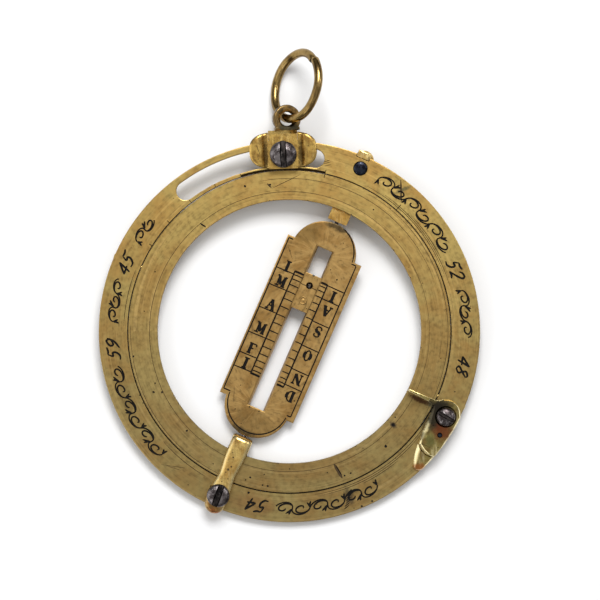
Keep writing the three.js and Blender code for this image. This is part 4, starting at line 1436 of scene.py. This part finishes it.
def build_screw(node, local, x, y, material, body, slot, **sizes):
    screw = moved(screw_mesh(**sizes), Matrix.Translation((x, y, 0)))
    build(node, screw, local, material, body)


for name, local, metal, slot_name, tab_offset in (
    ("front", LOWER, screw_steel, "screw_steel", 0.0), ("back", UPPER, blued_steel, "blued_steel", 0.35),
):
    arm = bracket_mesh(name + "_bracket", local, tab_offset, BRACKET_HALF_WIDTH)
    build(name + "_bracket", arm, local, bracket_brass, "dial_frame")
    build_screw(
        name + "_bracket_screw", local, 0, BRACKET_SCREW_AT, metal, "dial_frame", slot_name,
        head=2.1, rim=0.75, dome=0.82, shank=BRACKET_SHANK, seat=2.51, tip=-0.85, tip_dome=0.35,
        slot_width=1.0, slot_depth=0.9, turn=4,
    )
for name, local in (("upper", UPPER), ("lower", LOWER)):
    low, high = span("bridge_pivot_" + name, local)
    pin = pin_mesh(BRIDGE_PIN, low.y, high.y)
    build("bridge_pivot_" + name, pin, local @ ALONG_Y, screw_steel, "dial_frame")

build("bridge_plate", bridge_mesh(), POLAR, bridge_brass, "bridge")
build("cursor_block", cursor_mesh(), POLAR, bridge_brass, "cursor")
back = soften_edges(cad_mesh("cursor_back_plate", POLAR), 0.1, 2, 35)
build("cursor_back_plate", back, POLAR, bridge_brass, "cursor")
build("cursor_rivet", rivet_mesh(), POLAR, bridge_brass, "cursor")

build("stop_plate", stop_mesh(), POLAR, stop_brass, "dial_frame")
build_screw(
    "stop_screw", POLAR, STOP_SCREW_AT.x, STOP_SCREW_AT.y, screw_steel, "dial_frame", "screw_steel",
    head=1.7, rim=0.4, dome=0.7, shank=STOP_SHANK, seat=2.13, tip=-0.8, tip_dome=0.15,
    slot_width=0.5, slot_depth=0.7, turn=84,
)
pin = moved(pin_mesh(STEADY_PIN, -0.65, 2.15), Matrix.Translation((*STEADY_PIN_AT, 0)))
build("stop_steady_pin", pin, POLAR, blued_steel, "dial_frame")

build("slider_ear_plate", ear_plate_mesh(), SLIDER, slider_brass, "slider", 40)
build("slider_stirrup", stirrup_mesh(), SLIDER, slider_brass, "slider")
guide = soften_edges(cad_mesh("slider_guide_block", SLIDER), 0.08, 1, 40)
build("slider_guide_block", guide, SLIDER, slider_brass, "slider")
back = soften_edges(cad_mesh("slider_back_plate", SLIDER), 0.12, 2, 40)
build("slider_back_plate", back, SLIDER, slider_brass, "slider")
build_screw(
    "slider_clamp_screw", SLIDER, 0, CLAMP_AT, screw_steel, "slider", "screw_steel",
    head=2.47, rim=0.5, dome=0.9, shank=CLAMP_SHANK, seat=2.54, tip=-2.41, tip_dome=0.0,
    slot_width=0.95, slot_depth=0.9, turn=1,
)

build("swivel_eye", eye_mesh(), EYE, eye_brass, "eye", 40)
build("suspension_ring", wire_ring_mesh(), WIRE_RING, wire_brass, "suspension_ring", 50)


# ---------------------------------------------------------------- stage, light and camera

def floor_material():
    nodes = Nodes("pale_floor", metallic=0.0, specular=0.1)
    cloud = nodes.noise(nodes.mm, 60.0, 2, 0.5)
    colour = nodes.mix(nodes.ramp(cloud, 0.3, 0.7), (0.75, 0.755, 0.765, 1), (0.765, 0.765, 0.765, 1))
    return nodes.finish(colour, nodes.ramp(cloud, 0.3, 0.7, 0.85, 0.9))


def add_floor():
    """A pale board, tilted so that the dial rests on it by its suspension ring and its lower rim."""
    rest_high = Vector((0, 0.0375, 0))
    lean = math.radians(3.03)
    mesh = box_mesh((-0.9, -0.9, -0.02), (0.9, 0.9, 0))
    mesh.materials.append(floor_material())
    board = bpy.data.objects.new("floor", mesh)
    bpy.context.scene.collection.objects.link(board)
    board.matrix_world = Matrix.Translation(rest_high) @ Matrix.Rotation(-lean, 4, "X")


def add_softbox(name, place, size, power):
    """A rectangular lamp that faces the dial. Metres and watts."""
    lamp = bpy.data.lights.new(name, "AREA")
    lamp.shape = "RECTANGLE"
    lamp.size, lamp.size_y = size
    lamp.energy = power
    box = bpy.data.objects.new(name, lamp)
    box.location = place
    aim = (Vector((0, 0, 0.005)) - Vector(place)).to_track_quat("-Z", "Y")
    box.rotation_euler = aim.to_euler()
    bpy.context.scene.collection.objects.link(box)


def add_world():
    """Dim, even room light, with a darker band near the horizon."""
    world = bpy.data.worlds.new("studio")
    world.use_nodes = True
    tree = world.node_tree
    background = tree.nodes["Background"]
    direction = tree.nodes.new("ShaderNodeTexCoord").outputs["Generated"]
    split = tree.nodes.new("ShaderNodeSeparateXYZ")
    tree.links.new(direction, split.inputs["Vector"])
    ramp = tree.nodes.new("ShaderNodeMapRange")
    tree.links.new(split.outputs["Z"], ramp.inputs["Value"])
    ramp.inputs["From Min"].default_value = 0.1
    ramp.inputs["From Max"].default_value = 0.9
    ramp.inputs["To Min"].default_value = 0.12
    ramp.inputs["To Max"].default_value = 0.72
    tree.links.new(ramp.outputs["Result"], background.inputs["Strength"])
    background.inputs["Color"].default_value = (1.0, 0.99, 0.975, 1)
    bpy.context.scene.world = world


def add_camera():
    distance = 0.6
    camera = bpy.data.cameras.new("camera")
    camera.sensor_width = 36
    camera.lens = 36 * distance / 0.1101
    holder = bpy.data.objects.new("camera", camera)
    holder.location = (0.001936, -0.002705, distance + 0.0058)
    bpy.context.scene.collection.objects.link(holder)
    bpy.context.scene.camera = holder


add_floor()
add_softbox("north_softbox", (0.06, 0.42, 0.55), (0.35, 0.3), 4.6)
add_softbox("west_softbox", (-0.55, 0.0, 0.3), (0.4, 0.6), 0.9)
add_softbox("south_west_softbox", (-0.4, -0.42, 0.45), (0.3, 0.3), 0.5)
add_softbox("east_softbox", (0.5, 0.2, 0.4), (0.15, 0.2), 0.4)
add_world()
add_camera()
bpy.context.scene.view_settings.view_transform = "Standard"
